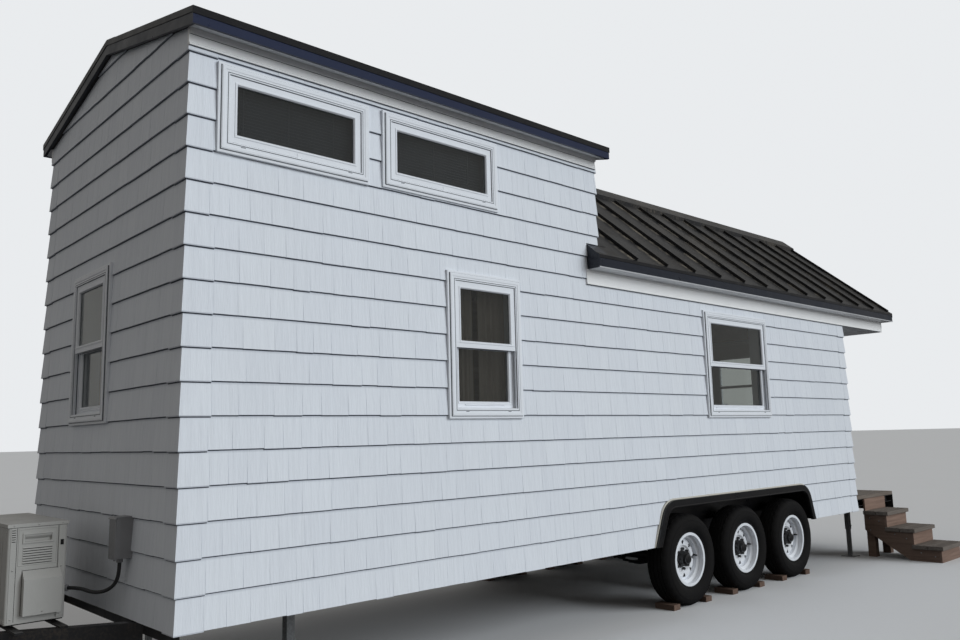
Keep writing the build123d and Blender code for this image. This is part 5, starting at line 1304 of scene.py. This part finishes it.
blades = Solid()
for k in range(3):
    rings = []
    for share in (0.0, 0.25, 0.5, 0.75, 1.0):
        radius, wide, lean = 0.058 + 0.154 * share, math.radians(78 - 18 * share), 0.030 - 0.008 * share
        face = [
            (0.5120 + lean * t - 0.006 * math.sin(math.pi * t), TAU * k / 3 + wide * t + 0.25 * share)
            for t in (0.0, 0.25, 0.5, 0.75, 1.0)
        ]
        ring = [round_fan(x, radius, angle) for x, angle in face]
        ring += [round_fan(x + 0.0025, radius, angle) for x, angle in face[::-1]]
        rings.append(ring)
    blades.loft(rings)
blades.piece("fan_blades", BLACK, "grille_wire", smooth=True)

coil, fins = Solid(), Solid()
block(fins, unit_back, -0.300, 0.385, 0.575, 1.020, 0.0, 0.0012)
for k in range(30):
    z = 0.582 + 0.015 * k
    tube(coil, [(0.7980, -0.302, z), (0.7980, 0.387, z)], 0.0012)
for k in range(6):
    y = -0.28 + 0.13 * k
    tube(coil, [(0.7994, y, 0.572), (0.7994, y, 1.024)], 0.0014)
frame_ring(coil, unit_back, (0.0425, 0.7975), (0.705, 0.465), mm((0, -0.2), (0, 4), (6, 4), (6, -0.2)))
fins.piece("coil_fins", DARK, "cabinet_beige")
coil.piece("coil_guard", BEIGE, "cabinet_beige", smooth=True)

# Disconnect box and glands
box, marks = Solid(), Solid()
near_edge, far_edge, lid_back, box_top = -0.6345, -0.5355, 0.9705, 1.0560
for low, high in (
    ((0.9660, near_edge, 0.8450), (lid_back, far_edge, box_top)),
    ((lid_back, near_edge, 0.8520), (0.9900, -0.6322, box_top)),
    ((lid_back, -0.5378, 0.8520), (0.9900, far_edge, box_top)),
):
    box.box(low, high)
hood = mm((0, 0), (0, 4), (9, 14), (90, 15.5), (90, 9.5), (12, 9), (6, 0), at=(0.96, 1.056))
box.loft([[(x, y, z) for x, z in hood] for y in (-0.6365, -0.5335)])
marks.box((0.9698, -0.6330, 1.0540), (0.9712, -0.5370, 1.0562))
box.box((0.9720, -0.5980, 0.8360), (0.9850, -0.5960, 0.8500))
box.box((0.9640, -0.6010, 0.8480), (0.9662, -0.5690, 0.8600))
for y in (-0.617, -0.553):
    for z in (0.872, 1.034):
        box.lathe(mm((0.1, 0.6), (4.2, 0.6), (3.8, -1.4), (0.1, -2.2)), (BOX_FACE, y, z), 0, 14)
box.piece("box_lid", BOX_GREY, "box_grey", bevel=0.0009)
marks.piece("box_gap", DARK, "box_grey")

glands = Solid()
glands.lathe(mm((10.4, 0), (18.5, 0), (18.5, 9), (10.4, 9)), (1.010, -0.585, 0.8385), 2, 6)
glands.lathe(mm((10.2, 0), (17.2, 2), (17.2, 8), (10.2, 8)), (1.010, -0.585, 0.8262), 2, 24)
start = len(glands.points)
glands.lathe(mm((10.4, 0), (19, 0), (19, 9), (10.4, 9)), (0, 0, 0), 2, 6)
glands.lathe(mm((10.2, 0), (17.2, 0), (16.5, 7.5), (10.2, 7.5)), (0, 0, -0.0080), 2, 24)
turn = Vector((-1, 1, 0)).to_track_quat("Z", "Y").to_matrix().to_4x4()
move = Matrix.Translation((0.8150, -0.3500, 0.692)) @ turn
glands.points[start:] = [move @ point for point in glands.points[start:]]
glands.piece("gland_nuts", BOX_GREY, "box_grey", bevel=0.0006)

# Coupler bolts and fastenings of the jacks
fittings = Solid()
for side in (-1, 1):
    for x, y in ((-0.045, 0.052), (-0.090, 0.047)):
        fittings.disc((x, side * y, 0.530), 2, 0.0095, 0.0, 0.0070, 6)
    for x in (1.80, 9.00):
        y = side * JACK_Y
        for dx in (-0.055, 0.055):
            for dy in (-0.055, 0.055):
                fittings.disc((x + dx, y + dy, 0.0), 2, 0.0090, 0.0075, 0.0090)
        fittings.disc((x, y, 0.340), 1, 0.0065, -0.034, 0.034)
        fittings.disc((x, y, 0.340), 1, 0.0110, -0.037, -0.031, 6)
for z, reach in ((0.322, 31.5), (0.345, 30), (0.895, 31.8), (0.870, 30)):
    fittings.lathe(mm((28, -5), (reach, -5), (reach, 5), (28, 5)), (0, 0, z), 2, 40)
fittings.lathe(mm((0.1, 0), (29, 0), (26, 8), (0.1, 9)), (0, 0, 0.9000), 2, 40)
fittings.piece("jack_fittings", ZINC, "galvanised", smooth=True)


# Floor, backdrop and light
def add_floor():
    mesh = bpy.data.meshes.new("floor")
    count, radius, middle = 96, 400, 5
    angles = [TAU * k / count for k in range(count)]
    rim = [(middle + radius * math.cos(angle), radius * math.sin(angle), 0) for angle in angles]
    mesh.from_pydata(rim, [], [list(range(count))])
    made = bpy.data.objects.new("studio_floor", mesh)
    floor = Shader("studio_floor", (0.10, 0.10, 0.105), 0.8)
    floor.tint(floor.node("ShaderNodeLightPath").outputs["Is Camera Ray"], (0.86, 0.86, 0.87))
    floor.tint(floor.times(floor.noise(0.6), 0.05), (0.7, 0.7, 0.7))
    mesh.materials.append(floor.material)
    scene.collection.objects.link(made)
    made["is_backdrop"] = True


def add_light():
    world = bpy.data.worlds.new("studio_world")
    scene.world = world
    world.use_nodes = True
    tree = world.node_tree
    mix = tree.nodes.new("ShaderNodeMixShader")
    path = tree.nodes.new("ShaderNodeLightPath")
    tree.links.new(path.outputs["Is Camera Ray"], mix.inputs[0])
    soft, seen = tree.nodes["Background"], tree.nodes.new("ShaderNodeBackground")
    for back, socket, color, strength in (
        (soft, mix.inputs[1], (0.97, 0.96, 0.93, 1), 0.30),
        (seen, mix.inputs[2], (0.86, 0.88, 0.90, 1), 0.95),
    ):
        back.inputs["Color"].default_value = color
        back.inputs["Strength"].default_value = strength
        tree.links.new(back.outputs[0], socket)
    tree.links.new(mix.outputs[0], tree.nodes["World Output"].inputs["Surface"])
    lamp = bpy.data.lights.new("key", "SUN")
    lamp.energy = 2.45
    lamp.angle = math.radians(46)
    lamp.color = (0.895, 0.955, 1.0)
    key = bpy.data.objects.new("key", lamp)
    key.rotation_euler = Vector((-0.42, 0.80, -0.26)).to_track_quat("-Z", "Y").to_euler()
    key.visible_glossy = False
    key.visible_transmission = False
    scene.collection.objects.link(key)


add_floor()
add_light()

low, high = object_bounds()
